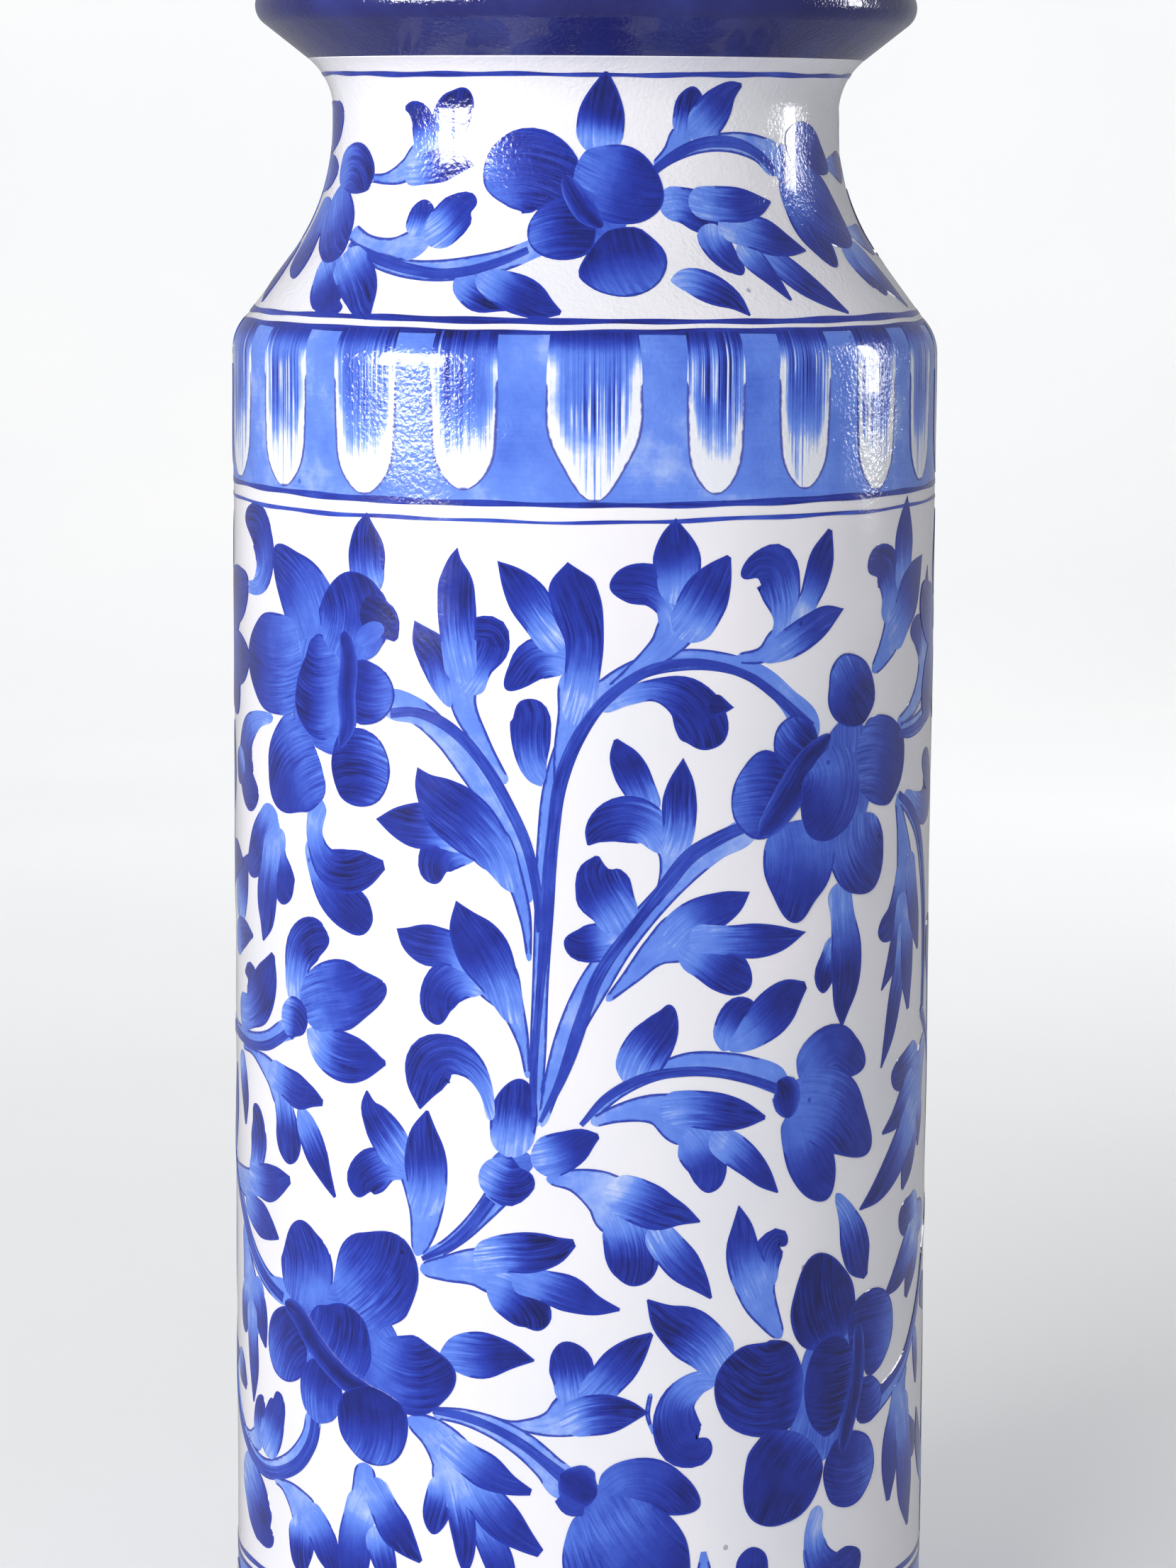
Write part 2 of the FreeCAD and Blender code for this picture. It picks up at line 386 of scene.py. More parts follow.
def stroke_pad(mark, shift, reference, lift, seed):
    """The pad of one stroke, lifted this far off the wall; the seed varies its bristle marks."""
    kind, points, _ = mark
    brush = BRUSHES[kind]
    t, place, heading, half, length = brush_path(kind, points)
    across = np.linspace(-1, 1, 2 * max(2, math.ceil(points[:, 2].max() / CELL)) + 1)[None, :]
    along = np.repeat(t[:, None], across.size, axis=1)
    offset = half[:, None] * across
    x = place[:, :1] + heading[:, 1:] * offset
    z = place[:, 1:2] - heading[:, :1] * offset
    sweep = brush.sweep * math.copysign(1, math.sin(seed)) * length * (along - 0.5) ** 2
    if kind == "tongue":
        drag, bristle = 0.2 * length, brush.bristle * (0.45 + 0.55 * smooth(0.04, 0.25, along))
    else:
        drag, bristle = length, along * 0 + brush.bristle
    fields = {
        "load": stroke_load(mark, along, across + along * 0),
        "edge": outline_distance(kind, half, across, along, length),
        "bristle": bristle,
        "grain": np.stack([along * drag, offset + sweep, along * 0 + seed], axis=-1),
    }
    return pad((x + shift) / reference, z, lift, fields)


def paint(name, level, marks, shift=0.0, reference=WALL_RADIUS):
    """A motif of strokes, each on the one before, this far above the lowest paint."""
    pads = []
    for order, mark in enumerate(marks):
        seed = 7.0 * order + 0.37 * mark[1][0, 0] + 0.11 * mark[1][-1, 1]
        pads.append(stroke_pad(mark, shift, reference, PAINT + level + LAYER * order, seed))
    return painted(name, pads)


# ---- the painting, traced as strokes: (x, z, half width) in millimetres ----
STEM_WASHES = [
    wash((-10.5, 196, 0.8), (-12, 203, 1.8), (-15, 210, 2.4), (-18.5, 216.5, 2.6), (-23.5, 223.5, 2.8),
        (-29, 229.5, 2.6), (-35, 233.8, 2.8), (-41, 235, 3)),
    wash((-9.3, 150, 1), (-8.8, 165, 1.7), (-8.3, 180, 1.7), (-7.6, 195, 2), (-7, 208, 2.2),
        (-5.5, 220, 2.4), (-2, 230, 2.6), (3.5, 238, 2.5), (11, 243.2, 2.2), (20, 245, 2.2), (30, 244, 2),
        (38, 241, 2), (44, 236, 2.4), (50, 230, 3)),
    wash((-8, 150, 0.6), (-5.5, 160, 2), (-2.2, 170, 2.7), (2.3, 179, 3.2), (7.5, 187, 2.8),
        (13.5, 194, 2.4), (20.5, 201, 2.4), (28, 206.5, 2.4), (35, 210, 2.6)),
    wash((-108, 159.3, 1.4), (-98, 158.8, 1.6), (-88, 159, 1.9), (-80, 160.5, 2.2), (-74, 163.3, 2.3),
        (-69.5, 165, 2.2)),
    wash((2, 152, 0.8), (8, 157.5, 1.3), (15, 161, 1.7), (22, 162.6, 2.4), (29, 162.3, 2.4), (36, 161, 2.2),
        (43, 157.8, 2.2)),
    wash((-16.3, 136.3, 2.8), (-20.5, 131.2, 2.1), (-24, 127.5, 1.8), (-28, 124.2, 1.5), (-33, 121.3, 1.2)),
    wash((-108, 130, 1.6), (-101, 124.5, 1.8), (-94, 117, 2), (-86, 111, 2.2), (-79, 108, 2.3),
        (-73, 107.5, 2.6)),
    wash((-62.8, 84, 2.6), (-64, 78.5, 2.7), (-68.5, 73, 2.7), (-75, 69.3, 2.4), (-82, 67.5, 2.2),
        (-89, 68.3, 2), (-96, 71.3, 1.8), (-103, 76, 1.6), (-108, 81, 1.4)),
    wash((-31, 89, 1.2), (-24, 88.7, 1.8), (-17, 86.7, 2.4), (-11, 83.3, 2.8), (-6.5, 79.3, 3),
        (-3, 75.5, 3.4)),
    wash((70, 81.5, 1.5), (76, 84.5, 2.2), (82, 86.8, 2), (88, 90, 1.8), (94, 95.5, 1.6), (99, 101.5, 1.5),
        (104, 109, 1.3)),
    wash((80, 226.5, 1.2), (86, 226.3, 2), (92, 227, 2.2), (99, 228.5, 2.2), (106, 230, 2)),
    wash((80, 213, 1.2), (87, 209, 1.8), (93, 203.5, 2), (97, 196, 2), (99.5, 187, 1.9), (100.5, 176, 1.8),
        (100, 165, 1.6)),
]
STEM_LINES = [
    line((-8.3, 190, 0.8), (-9.4, 200, 1), (-11.4, 208, 1.1), (-14.7, 215, 1.2), (-19.5, 223, 1.2),
        (-24.5, 228.6, 1.2), (-30, 232.2, 1.2), (-35.5, 233.6, 1), (-41, 233, 1)),
    line((-9.6, 152, 0.5), (-9.4, 165, 0.7), (-8.4, 178, 0.8), (-7.4, 190, 1.2), (-6.8, 200, 1.35),
        (-5.8, 211, 1.3), (-4.4, 221, 1.3), (-1, 229.5, 1.3), (3, 235.5, 1.2), (8, 240, 1.1),
        (14, 243.3, 1), (21, 244.4, 0.9), (28, 243.5, 0.9), (35, 241, 0.9), (41, 237, 1), (46, 233, 1.2),
        (50, 229.5, 1.6)),
    line((-8.3, 151, 0.4), (-4, 160, 1), (-2.2, 165, 1.3), (-0.6, 170, 1.4), (1, 175, 1.3), (2.8, 180, 1.3),
        (5.7, 185, 1.2), (9.5, 190, 1.1), (13.5, 195, 1.1), (17.5, 200, 1.5), (21.8, 205, 1.6),
        (28.5, 208.7, 1.4), (35, 211, 1.2)),
    line((-108, 158.6, 0.9), (-97, 157.9, 0.9), (-88, 158, 0.9), (-81, 159.3, 0.9), (-75, 161.6, 1),
        (-70, 164.3, 1)),
    line((0, 150.5, 0.5), (5, 156, 0.9), (12, 159.8, 1), (20, 161, 1), (28, 160.5, 1), (33, 159.3, 1),
        (37, 158, 1), (42, 156, 1.1)),
    line((-18.5, 134.5, 1.3), (-21.3, 130.5, 1.2), (-25, 126.2, 1.2), (-29, 123.4, 0.8), (-33.5, 121, 0.5)),
    line((-108, 128.5, 0.9), (-101, 123, 1), (-94.5, 117.5, 1.1), (-87.5, 112, 1.1), (-80, 108.2, 1.1),
        (-74, 106.3, 1.1)),
    line((-62.3, 84, 1.2), (-62.8, 79, 1.5), (-66.6, 73, 1.6), (-73, 69, 1.5), (-80, 67.2, 1.3),
        (-87, 67.3, 1.2), (-94, 69.8, 1.1), (-101, 73.5, 1), (-108, 79, 0.9)),
    line((-31, 89.6, 0.8), (-24, 88.8, 0.9), (-17.5, 86.8, 0.9), (-12, 84, 1), (-7, 80.3, 1.1),
        (-3, 77, 1.4)),
    line((70, 82.5, 0.7), (76, 86.3, 1.2), (82, 88.5, 1), (88, 91.5, 0.9), (94, 96.8, 0.9),
        (99, 102.5, 0.8), (104, 110, 0.8)),
    line((80, 225.7, 0.8), (88, 226, 0.9), (95, 227.2, 1), (101, 228.7, 1), (106, 230, 0.9)),
    line((81, 213, 0.8), (87, 209.3, 1), (92, 205, 1), (96, 199, 1), (98.7, 192, 1), (100.3, 183, 1),
        (100.7, 174, 0.9), (100, 165, 0.8)),
]
LEAVES = {
    "arch_leaf": [
        wash((-5.2, 219, 0.5), (-4.3, 226, 1.6), (-2.2, 234, 2.9), (-1.2, 241, 3.4)),
        bulb((-1, 245, 3), (-5.5, 246, 4.2), (-9.8, 245, 4.2), (-13, 241.8, 2.8), (-15.6, 239, 0.3)),
        bulb((-8.3, 219.6, 0.4), (-10, 224, 2.9), (-10.5, 230, 4.1), (-10.8, 234, 3.9), (-12.5, 236.8, 0)),
        lobe((-4.5, 247, 2.5), (-8.2, 252.8, 3.8), (-11.5, 257.8, 4.1), (-14.7, 261.8, 2.4),
            (-17.4, 264.8, 0)),
        lobe((-1.2, 232, 2.6), (-0.3, 241, 3.5), (0.2, 249, 3.9), (-1.6, 257, 5), (-2.7, 261, 4.2),
            (-3.2, 264.8, 0)),
    ],
    "upper_left_leaf": [
        wash((-15.5, 220, 1), (-20.5, 228, 1.8), (-24.5, 236, 2.8), (-24.2, 243, 3.2), (-24.5, 248, 3.8)),
        bulb((-24, 238, 2), (-21.5, 243.5, 3.2), (-19.3, 248.5, 4.6), (-19, 253.5, 0)),
        bulb((-16.5, 247.5, 2), (-18, 250.8, 2.6), (-21.5, 251.2, 2.2), (-24.8, 250, 0.8), dark=-0.4),
        lobe((-27.3, 235, 0.8), (-29, 240, 2.8), (-30.5, 245, 3.9), (-33.5, 249, 2.6), (-35.3, 252.2, 0)),
        lobe((-24.8, 240, 2.6), (-25.5, 248, 3.8), (-26, 256, 4.1), (-26.2, 261, 3.5), (-26.3, 265, 1.3),
            (-25.8, 267.2, 0)),
    ],
    "left_edge_leaf": [
        bulb((-91.5, 255, 1.2), (-86, 255.6, 2), (-82, 259, 4), (-81.8, 264, 5), (-84.5, 268, 5.2),
            (-89.5, 269.3, 3.2), (-93.2, 269.4, 0)),
        bulb((-77.5, 228.9, 0.8), (-86, 227.3, 2.2), (-92.5, 223, 4.2), (-93.8, 217, 5.5), (-91, 212.5, 5),
            (-85, 211.5, 1.5)),
        bulb((-96, 220, 3), (-99, 215.5, 4), (-101, 213, 2)),
    ],
    "arch_end_leaf": [
        wash((32, 244.9, 1), (38, 245.5, 1.8), (42, 248.5, 2.6)),
        bulb((43, 247, 2.6), (43.4, 252.5, 3), (42.3, 258, 4.8), (40.3, 262.6, 5.4), (36.5, 263.4, 3),
            (32.8, 261.4, 0)),
        lobe((46, 250, 2), (49, 255.5, 2.5), (51.2, 260, 3.3), (52.8, 264.5, 3.3), (54.9, 270, 0.6)),
        lobe((37, 244.8, 1.5), (44, 247.3, 3.2), (49.5, 249.8, 3.4), (54.5, 252.2, 2.5), (59.2, 253.6, 0)),
    ],
    "upper_right_leaf": [
        wash((69, 239.8, 1), (73, 243, 2.6), (77, 247.5, 4.2), (79, 252, 5)),
        bulb((75.5, 249, 3), (76, 255, 3.6), (74.5, 260.5, 5), (70.5, 262.3, 3.6), (67, 261, 1.5)),
        lobe((81, 255, 3), (81.8, 261, 3.9), (82.1, 267, 4.2), (82.6, 271.5, 2.4), (83.2, 275.3, 0)),
        lobe((76, 245, 3), (81, 250, 4.5), (85.5, 255, 5.5), (89, 258.5, 3.8), (93.2, 262.3, 0)),
    ],
    "right_edge_leaf": [
        wash((80, 228.3, 0.8), (87, 230.3, 1.8), (93, 234.5, 3), (96.5, 241, 3.5)),
        bulb((96, 237, 4), (95, 243.5, 4.5), (91, 246.3, 3.8), (86, 246.8, 1.5)),
        lobe((97, 238, 3), (97.5, 248, 4), (98, 254, 2.5), (98.6, 259.6, 0)),
    ],
    "arch_top_leaf": [
        wash((5, 239, 0.8), (10.5, 243, 1.8), (16, 247.5, 3), (19.5, 252, 4)),
        bulb((18.5, 250, 2.5), (18, 256, 3.6), (14, 260, 4.2), (9, 260.3, 3.8), (5.2, 259.8, 1.6)),
        lobe((19.5, 256, 3), (19.3, 261, 4.5), (18.8, 266, 4.9), (18.5, 270.5, 2.7), (18.6, 273.5, 0)),
        lobe((20, 249, 3), (23, 254, 5), (25.8, 259, 4.8), (28, 262.5, 3), (30, 265.6, 0.5)),
    ],
    "arch_inner_leaf": [
        bulb((4, 234.8, 0.5), (9, 237.8, 1.8), (15.5, 239, 2.6), (21, 237, 4.6), (24, 233, 5.6),
            (25.2, 229, 4.8), (25.2, 226.6, 2.4)),
        lobe((26, 236, 3), (29, 235.3, 1.6), (31.4, 235, 0), dark=-0.5),
    ],
    "centre_high_leaf": [
        wash((14.2, 195, 0.8), (17, 200, 1.6), (18, 205, 2.4), (17.5, 210, 3.4)),
        bulb((7.5, 188, 2.4), (3.5, 188, 4), (-0.5, 187.6, 3.4), (-3.6, 188.3, 0.6)),
        lobe((14, 213.5, 2.5), (11.8, 218.5, 3.2), (9.5, 223, 3.5), (7.6, 226.6, 2.4), (6.6, 229.2, 0.4)),
        lobe((16.5, 206, 1.8), (14, 211, 4), (9.5, 213, 4.8), (5, 212, 4), (2.5, 210, 2.4),
            (1.1, 207.8, 0.2)),
        lobe((18.5, 205, 2.2), (19.7, 211, 3.4), (19.8, 216.5, 3.6), (20.2, 221, 2.4), (20.5, 225.2, 0)),
        lobe((8.3, 190, 2), (6.8, 194, 4.6), (4, 199, 5.8), (2.5, 202.5, 3.6), (3, 205.6, 0.4)),
    ],
    "centre_right_leaf": [
        wash((5, 176, 0.5), (10, 181, 1.8), (15, 186, 3.2), (20, 188.8, 5)),
        bulb((20, 187, 4), (25.5, 184.5, 4.6), (30, 181.5, 4.8), (33, 179.3, 3.8), (35.6, 177.4, 1.2)),
        lobe((17, 188, 3.5), (23, 192, 4.2), (28.5, 194, 3.6), (32.5, 195.6, 2.2), (35.4, 197.2, 0)),
        lobe((22, 188.5, 3), (30, 187.6, 3), (36.5, 187, 3.6), (43, 187, 2.6), (49.4, 187.8, 0)),
    ],
    "bud_stem_leaves": [
        bulb((9.5, 158.3, 1.5), (11, 162, 4.4), (13.5, 166, 5), (16.3, 170, 3.9), (17.8, 173.5, 1.8),
            (18, 175, 0.6)),
        bulb((29.5, 164.8, 1.5), (31, 168.5, 3.8), (33.5, 172, 4.2), (36.5, 174.5, 2)),
        lobe((31, 164.8, 1), (36, 168, 3.6), (41, 171.8, 5), (45.5, 175, 3.8), (49.5, 176.8, 0.8)),
    ],
    "centre_left_high_leaf": [
        wash((-10.6, 184, 0.4), (-11.5, 193, 1.3), (-14.5, 202, 2.4), (-19.5, 208, 4.5)),
        bulb((-20, 207.5, 4), (-25, 207.5, 4.6), (-29.5, 205, 4.5), (-31, 202, 3.5), (-30.5, 198.8, 1)),
        lobe((-22, 208, 3), (-29, 210.5, 4.4), (-35.5, 210.5, 4.6), (-40, 210.8, 3), (-44.6, 211.1, 0)),
        lobe((-13.5, 198, 1.5), (-17.5, 205.5, 4), (-23.5, 211.5, 6), (-29.5, 216, 5.2), (-33, 219.5, 2.5),
            (-34.6, 222.4, 0)),
    ],
    "centre_left_leaf": [
        wash((-10.8, 160, 0.4), (-12, 168, 1.4), (-14.5, 175, 2.8), (-18, 181, 4.8)),
        bulb((-18, 180, 4), (-23.5, 180.5, 4.5), (-28.5, 178, 4.6), (-30.3, 174, 3.8), (-30, 169.9, 0.4)),
        lobe((-20, 183, 3), (-27, 185.8, 3.6), (-33, 186.3, 4.2), (-36.5, 187.3, 2.8), (-39.5, 189, 0)),
        lobe((-13, 171, 1.8), (-16.5, 179, 4), (-20.5, 186, 5.6), (-24, 191, 3.8), (-26, 195.7, 0)),
    ],
    "peony_foot_leaf": [
        bulb((-62, 206, 2.4), (-60.5, 200, 3.8), (-56.5, 195, 5), (-51.5, 192, 5), (-47.5, 190.3, 3.8),
            (-45.5, 189.8, 1.5)),
        lobe((-60.5, 214, 2), (-62, 206, 2.6), (-58.5, 200.5, 3.8), (-52.5, 199.5, 4.6),
            (-47.5, 200.5, 3.8), (-42.6, 201.8, 1)),
    ],
    "left_side_leaf": [
        bulb((-76, 209, 3), (-80, 205.5, 5), (-84.5, 201, 5.5), (-88.5, 197.3, 4), (-91.8, 194.8, 1.5)),
        bulb((-75.7, 206, 2), (-75, 200.5, 2.8), (-73.8, 196, 4.5), (-72, 193, 4), (-70.5, 191.5, 2)),
        lobe((-77, 205, 2.5), (-79.3, 198, 4), (-81, 191, 4.8), (-81.3, 186, 3.6), (-82.9, 181.2, 0.3)),
    ],
    "left_far_leaf": [
        lobe((-103, 184, 6), (-98.5, 189, 5.5), (-95.5, 193.5, 4), (-92, 198.4, 0)),
        lobe((-105, 177.5, 4), (-99.5, 180, 3.8), (-94.5, 181, 2.8), (-89, 181.2, 0.3)),
    ],
    "bud_base_leaf": [
        lobe((-88, 166, 4), (-89.5, 170.5, 4.5), (-92, 173, 2.5), (-95.2, 172.6, 0.3)),
        lobe((-100, 163, 2), (-91, 165, 4), (-84.5, 169, 6), (-80.5, 174, 4.5), (-78, 179, 0.8)),
    ],
    "bud_under_leaf": [
        wash((-97, 156.4, 0.7), (-87, 156, 1.2), (-79, 153.5, 3), (-73.5, 149.5, 4)),
        bulb((-75, 151, 3), (-73, 146, 3.9), (-71.8, 141, 4.9), (-71.5, 137.6, 3.8), (-71.5, 135.4, 1.5)),
        lobe((-67.8, 148, 1.6), (-64.7, 144, 3.4), (-61.8, 139.5, 3.6), (-58.8, 135, 2), (-55.9, 131, 0.4)),
        lobe((-80, 154, 2.2), (-73.5, 152.8, 3.4), (-67.5, 151.4, 3.8), (-63, 151, 2.2),
            (-59.6, 150.3, 0.7)),
    ],
    "left_middle_leaf": [
        wash((-108, 127, 2.5), (-100, 127, 3), (-94, 127, 3.4), (-89, 127.5, 3.4)),
        bulb((-90, 128, 2), (-87.3, 133, 3.6), (-86, 138.5, 4.5), (-86.8, 142.5, 3.2), (-88.8, 145.2, 1)),
        lobe((-95, 124.5, 2.2), (-89, 122, 3.6), (-83.5, 120.8, 3.9), (-79.5, 119.7, 2.4),
            (-76, 118.6, 0.3)),
        lobe((-92, 129, 2.6), (-86, 129.3, 3.6), (-80, 129.8, 4.1), (-75.5, 131, 3), (-71, 132.1, 0.8)),
        lobe((-99, 155, 2), (-97, 150, 3), (-95.3, 145, 2.6), (-95, 139.6, 0.5)),
    ],
    "left_low_leaf": [
        wash((-97, 118, 1.2), (-94.5, 111, 3.4), (-92, 104, 5.6), (-90.5, 99, 5.5)),
        bulb((-94, 106, 3), (-96, 100, 3.6), (-96.3, 96, 2.8), (-96, 93.8, 1.2)),
        lobe((-88, 108, 2.6), (-85.5, 102, 3.6), (-84, 97.5, 2.8), (-82.3, 93.7, 0.4)),
        lobe((-91, 102, 3.5), (-90.3, 94, 3.4), (-89.5, 87, 2.8), (-89.7, 80.2, 0.3)),
        lobe((-104, 88, 3), (-99, 84.5, 3), (-95.5, 82, 1)),
    ],
    "junction_left_leaf": [
        wash((-34.8, 121.5, 1), (-33.6, 125.5, 2.6), (-32.8, 130, 3.6), (-33, 136, 4.8), (-34.5, 141, 4.8)),
        bulb((-36.5, 140.5, 3), (-41, 140, 3.4), (-45.5, 138, 4.8), (-48.8, 135.5, 3.9), (-49.8, 132, 1.2)),
        lobe((-38, 140, 3), (-41, 144.5, 4.4), (-44.3, 148.5, 3.8), (-46.5, 151.5, 2.2), (-47, 154.6, 0.2)),
        lobe((-33.5, 130, 3.4), (-32.5, 136, 4.5), (-32.8, 142, 4.8), (-33, 147, 3.4), (-32.3, 152, 0.3)),
    ],
    "junction_curl": [
        fill((-18.5, 139.5, 2), (-14, 142, 3.6), (-9.5, 143, 2.4)),
        bulb((-13.8, 143.5, 2.6), (-14, 148, 4.6), (-13.5, 153, 4.8), (-12.5, 157.5, 3.2),
            (-12, 159.8, 0.8)),
        bulb((-20.8, 140.5, 2), (-18, 139.5, 4.2), (-14.5, 138.5, 5.2), (-11.3, 139, 3), (-9.8, 140, 1)),
        lobe((-18.4, 151, 0.9), (-19.5, 157, 1.5), (-22.5, 161.8, 2.8), (-27, 163.8, 4.2),
            (-31.3, 162, 5.6), (-33.2, 157.5, 4.2), (-34, 152.2, 0.2)),
        lobe((-10, 142.5, 2.5), (-6.5, 143.8, 4.4), (-2.5, 145.5, 4), (1, 147.4, 2.6), (3.6, 148.3, 0.5)),
    ],
    "junction_low_leaf": [
        wash((-34, 118.8, 1.2), (-28, 119.5, 2.8), (-22, 120.3, 4), (-17, 119.8, 5)),
        bulb((-19, 117.5, 4), (-14.5, 115.5, 5), (-10.8, 112.5, 4.8), (-8.8, 110, 3.4), (-8, 107.8, 1.5)),
        lobe((-14, 118.5, 2.6), (-8, 117.3, 3.2), (-2.5, 115.6, 3.8), (3, 113.2, 2.2), (8.1, 112.2, 0.3)),
        lobe((-22, 121.5, 3), (-15.5, 123.5, 4), (-9.5, 124, 4.2), (-5, 124.7, 3), (-1.2, 126.2, 0.8)),
    ],
    "junction_right_leaf": [
        wash((-7, 139.3, 0.8), (-1, 139, 2.6), (4.5, 136.5, 4.6), (8.5, 132.5, 5.8)),
        bulb((8.5, 133, 4.6), (9.8, 128, 5.4), (10.8, 123, 5.6), (11, 119.5, 4.3), (10.8, 117, 1.8)),
        lobe((14.5, 129.5, 2.5), (18, 124.8, 3.6), (21.7, 120.5, 3.6), (25, 116.8, 2), (27.4, 113.6, 0.3)),
        lobe((5, 137.5, 3.5), (11, 135, 4.6), (16.5, 132.5, 4.2), (20.5, 131.5, 2.4), (24.8, 129.8, 0.2)),
    ],
    "under_bud_stem_leaf": [
        wash((2, 151, 1), (8, 153, 2), (15, 153.6, 3.2), (22, 150.5, 5)),
        bulb((22.5, 149, 4.5), (24.8, 145, 5), (26.4, 141.5, 4.4), (26.8, 138, 3.3), (26.6, 135.6, 1.4)),
        lobe((27, 147.5, 2.5), (32, 144.3, 3.4), (36.3, 140.8, 3), (39.8, 137.2, 2), (42.8, 134.2, 0.2)),
        lobe((16, 154, 2.8), (23, 153.3, 3.8), (30, 152, 3.8), (35, 151, 2.6), (39.5, 150.2, 0.4)),
    ],
    "low_centre_leaf": [
        wash((-20, 89.3, 0.6), (-12, 87.8, 1.2), (-6, 88.3, 2.8), (-1.5, 90.5, 4.6)),
        bulb((-1.5, 92, 3), (-1.3, 96.5, 4), (-1.8, 100.5, 4.6), (-2.8, 103.3, 3.5), (-3.6, 105.5, 1.2)),
        lobe((-29.5, 101, 1.8), (-25, 101.8, 4.2), (-20, 102, 4.9), (-14.5, 102.2, 3), (-9.3, 101.5, 0.2)),
        lobe((1, 92, 3), (5, 97, 3.8), (8.5, 101, 4), (11.8, 104.3, 2.6), (14.8, 107, 0.4)),
        lobe((-4, 88.5, 3), (1, 90, 4.2), (6.5, 90.5, 4), (10.5, 90.7, 2.4), (14.1, 90.5, 0.1)),
    ],
    "low_right_flower_leaves": [
        wash((44, 103.5, 1), (41, 108, 2.8), (38.3, 113, 4.2), (37.3, 117, 5)),
        bulb((40, 114, 2.8), (40, 118.5, 3.2), (41, 122.5, 3.6), (43.3, 124.5, 2.2), (45.2, 123, 0.8)),
        lobe((31, 98.5, 3), (27, 103, 5), (22, 107, 5.3), (17.5, 110, 3.4), (13.8, 114.1, 0.2)),
        lobe((59, 131.8, 0.8), (62.5, 126.5, 2.8), (65, 121, 4.6), (67, 116, 4), (69.3, 112.4, 0.8)),
        lobe((39, 113, 3.2), (36, 118, 4.3), (34.5, 123, 3.9), (34.2, 128, 2.4), (33.5, 132.4, 0.1)),
    ],
    "right_middle_leaf": [
        wash((104, 158, 2), (99, 154, 3.5), (96, 149, 4.5), (95, 144, 4.5)),
        bulb((95, 157, 3), (89.5, 154.5, 4), (84.5, 153.2, 3.9), (81, 153.3, 2.8), (79.2, 153.8, 1)),
        lobe((93, 152, 3), (87, 147.5, 3.8), (81.5, 144, 2.4), (75.4, 141.8, 0.3)),
        lobe((95, 145, 3), (91.5, 138, 4), (88, 132, 3.2), (85.6, 128, 0.6)),
        lobe((98, 146, 3), (97.5, 140, 2.4), (97, 135.3, 0.4)),
        lobe((94, 147, 3), (88, 140.5, 4.6), (80, 134, 4), (73, 129.7, 2.4), (66.8, 127.1, 0.2)),
    ],
    "right_low_leaf": [
        wash((104, 119, 2.5), (99, 119.5, 4), (95.5, 118.5, 4.4)),
        bulb((97, 124, 2), (92.5, 122.5, 3.4), (88, 121.3, 3.9), (85, 120.6, 2.6), (84, 120.3, 1)),
        lobe((97, 117, 3.5), (93.5, 111.5, 4), (91, 107.5, 2.8), (89, 103.9, 0.8)),
        lobe((95, 119, 3), (89, 113.5, 4), (83.5, 109.5, 2.8), (77.2, 106.5, 0.2)),
    ],
    "lotus_foot_leaf": [
        bulb((58, 186, 2.5), (56.5, 181.5, 3), (54.8, 178.2, 3), (54.3, 174.5, 1.6)),
        lobe((58.5, 197, 2.2), (60, 190, 3.6), (61.3, 183, 4.8), (61.3, 176.5, 4.4), (60.3, 171, 2.6),
            (60.2, 167, 0.3)),
    ],
    "lotus_side_leaf": [
        wash((80, 212.5, 1), (82.5, 206, 2.4), (84.5, 199, 4), (85.5, 192, 5)),
        bulb((84, 199, 3), (82.5, 192, 3.8), (79, 186.8, 3.6), (74.5, 185, 2.6), (72.5, 184.5, 0.8)),
        bulb((84, 213, 0.8), (91, 210, 2.5), (97, 208.5, 4), (102, 211, 5), (100, 217, 4), (96, 219, 1)),
        lobe((84, 192, 3), (82.5, 185, 3.4), (79.5, 179, 2.8), (74.2, 172.5, 0.2)),
        lobe((84.5, 186, 3), (83, 178, 2.8), (80.5, 170, 3), (78, 163, 2.2), (74.4, 156, 0.2)),
        lobe((86.5, 190, 3), (86.5, 181, 3.6), (86.7, 174, 3.2), (87.8, 166.5, 0.6)),
        lobe((87.5, 200, 3), (89, 192, 3.5), (91.3, 185, 3.2), (94, 178.5, 0.4)),
    ],
    "bottom_left_leaf": [
        wash((-47.5, 76, 2.6), (-47.8, 71, 3.2), (-47.5, 66, 4)),
        bulb((-48, 70, 3), (-49.5, 64, 4), (-50.5, 58.5, 4.6), (-50.8, 53, 4), (-50, 47.5, 1.5)),
        lobe((-45, 63, 3), (-43.5, 58, 3.4), (-42, 53.5, 2.5), (-41, 49.5, 0.4)),
        lobe((-46, 73, 2.2), (-43, 67.5, 3.6), (-39.5, 62.5, 4), (-36.5, 59.5, 2.4), (-33.8, 57, 0.5)),
    ],
    "bottom_edge_leaves": [
        wash((-99, 72.8, 0.8), (-92, 72, 1.4), (-86.5, 72.8, 2.6)),
        wash((-78, 66.2, 0.8), (-73.5, 65.6, 1.6), (-69, 63.5, 3.6), (-66, 61, 5)),
        bulb((-86, 72, 3), (-86, 76, 3.4), (-85.3, 80, 2.9), (-83.8, 82.7, 0.8)),
        bulb((-84, 71.5, 2.6), (-80, 75.5, 5), (-77.7, 80, 4.2), (-76.3, 83.3, 2.8), (-76.8, 85.5, 0.8)),
        bulb((-97, 66.5, 2.5), (-92.5, 62.5, 6), (-88, 58.5, 7), (-84, 55, 5.8), (-80.5, 52.8, 2.6),
            (-78.6, 53, 0.5)),
        bulb((-67.5, 61, 4), (-67.3, 56, 4.6), (-67.5, 51.5, 3.6), (-67, 48, 1.2)),
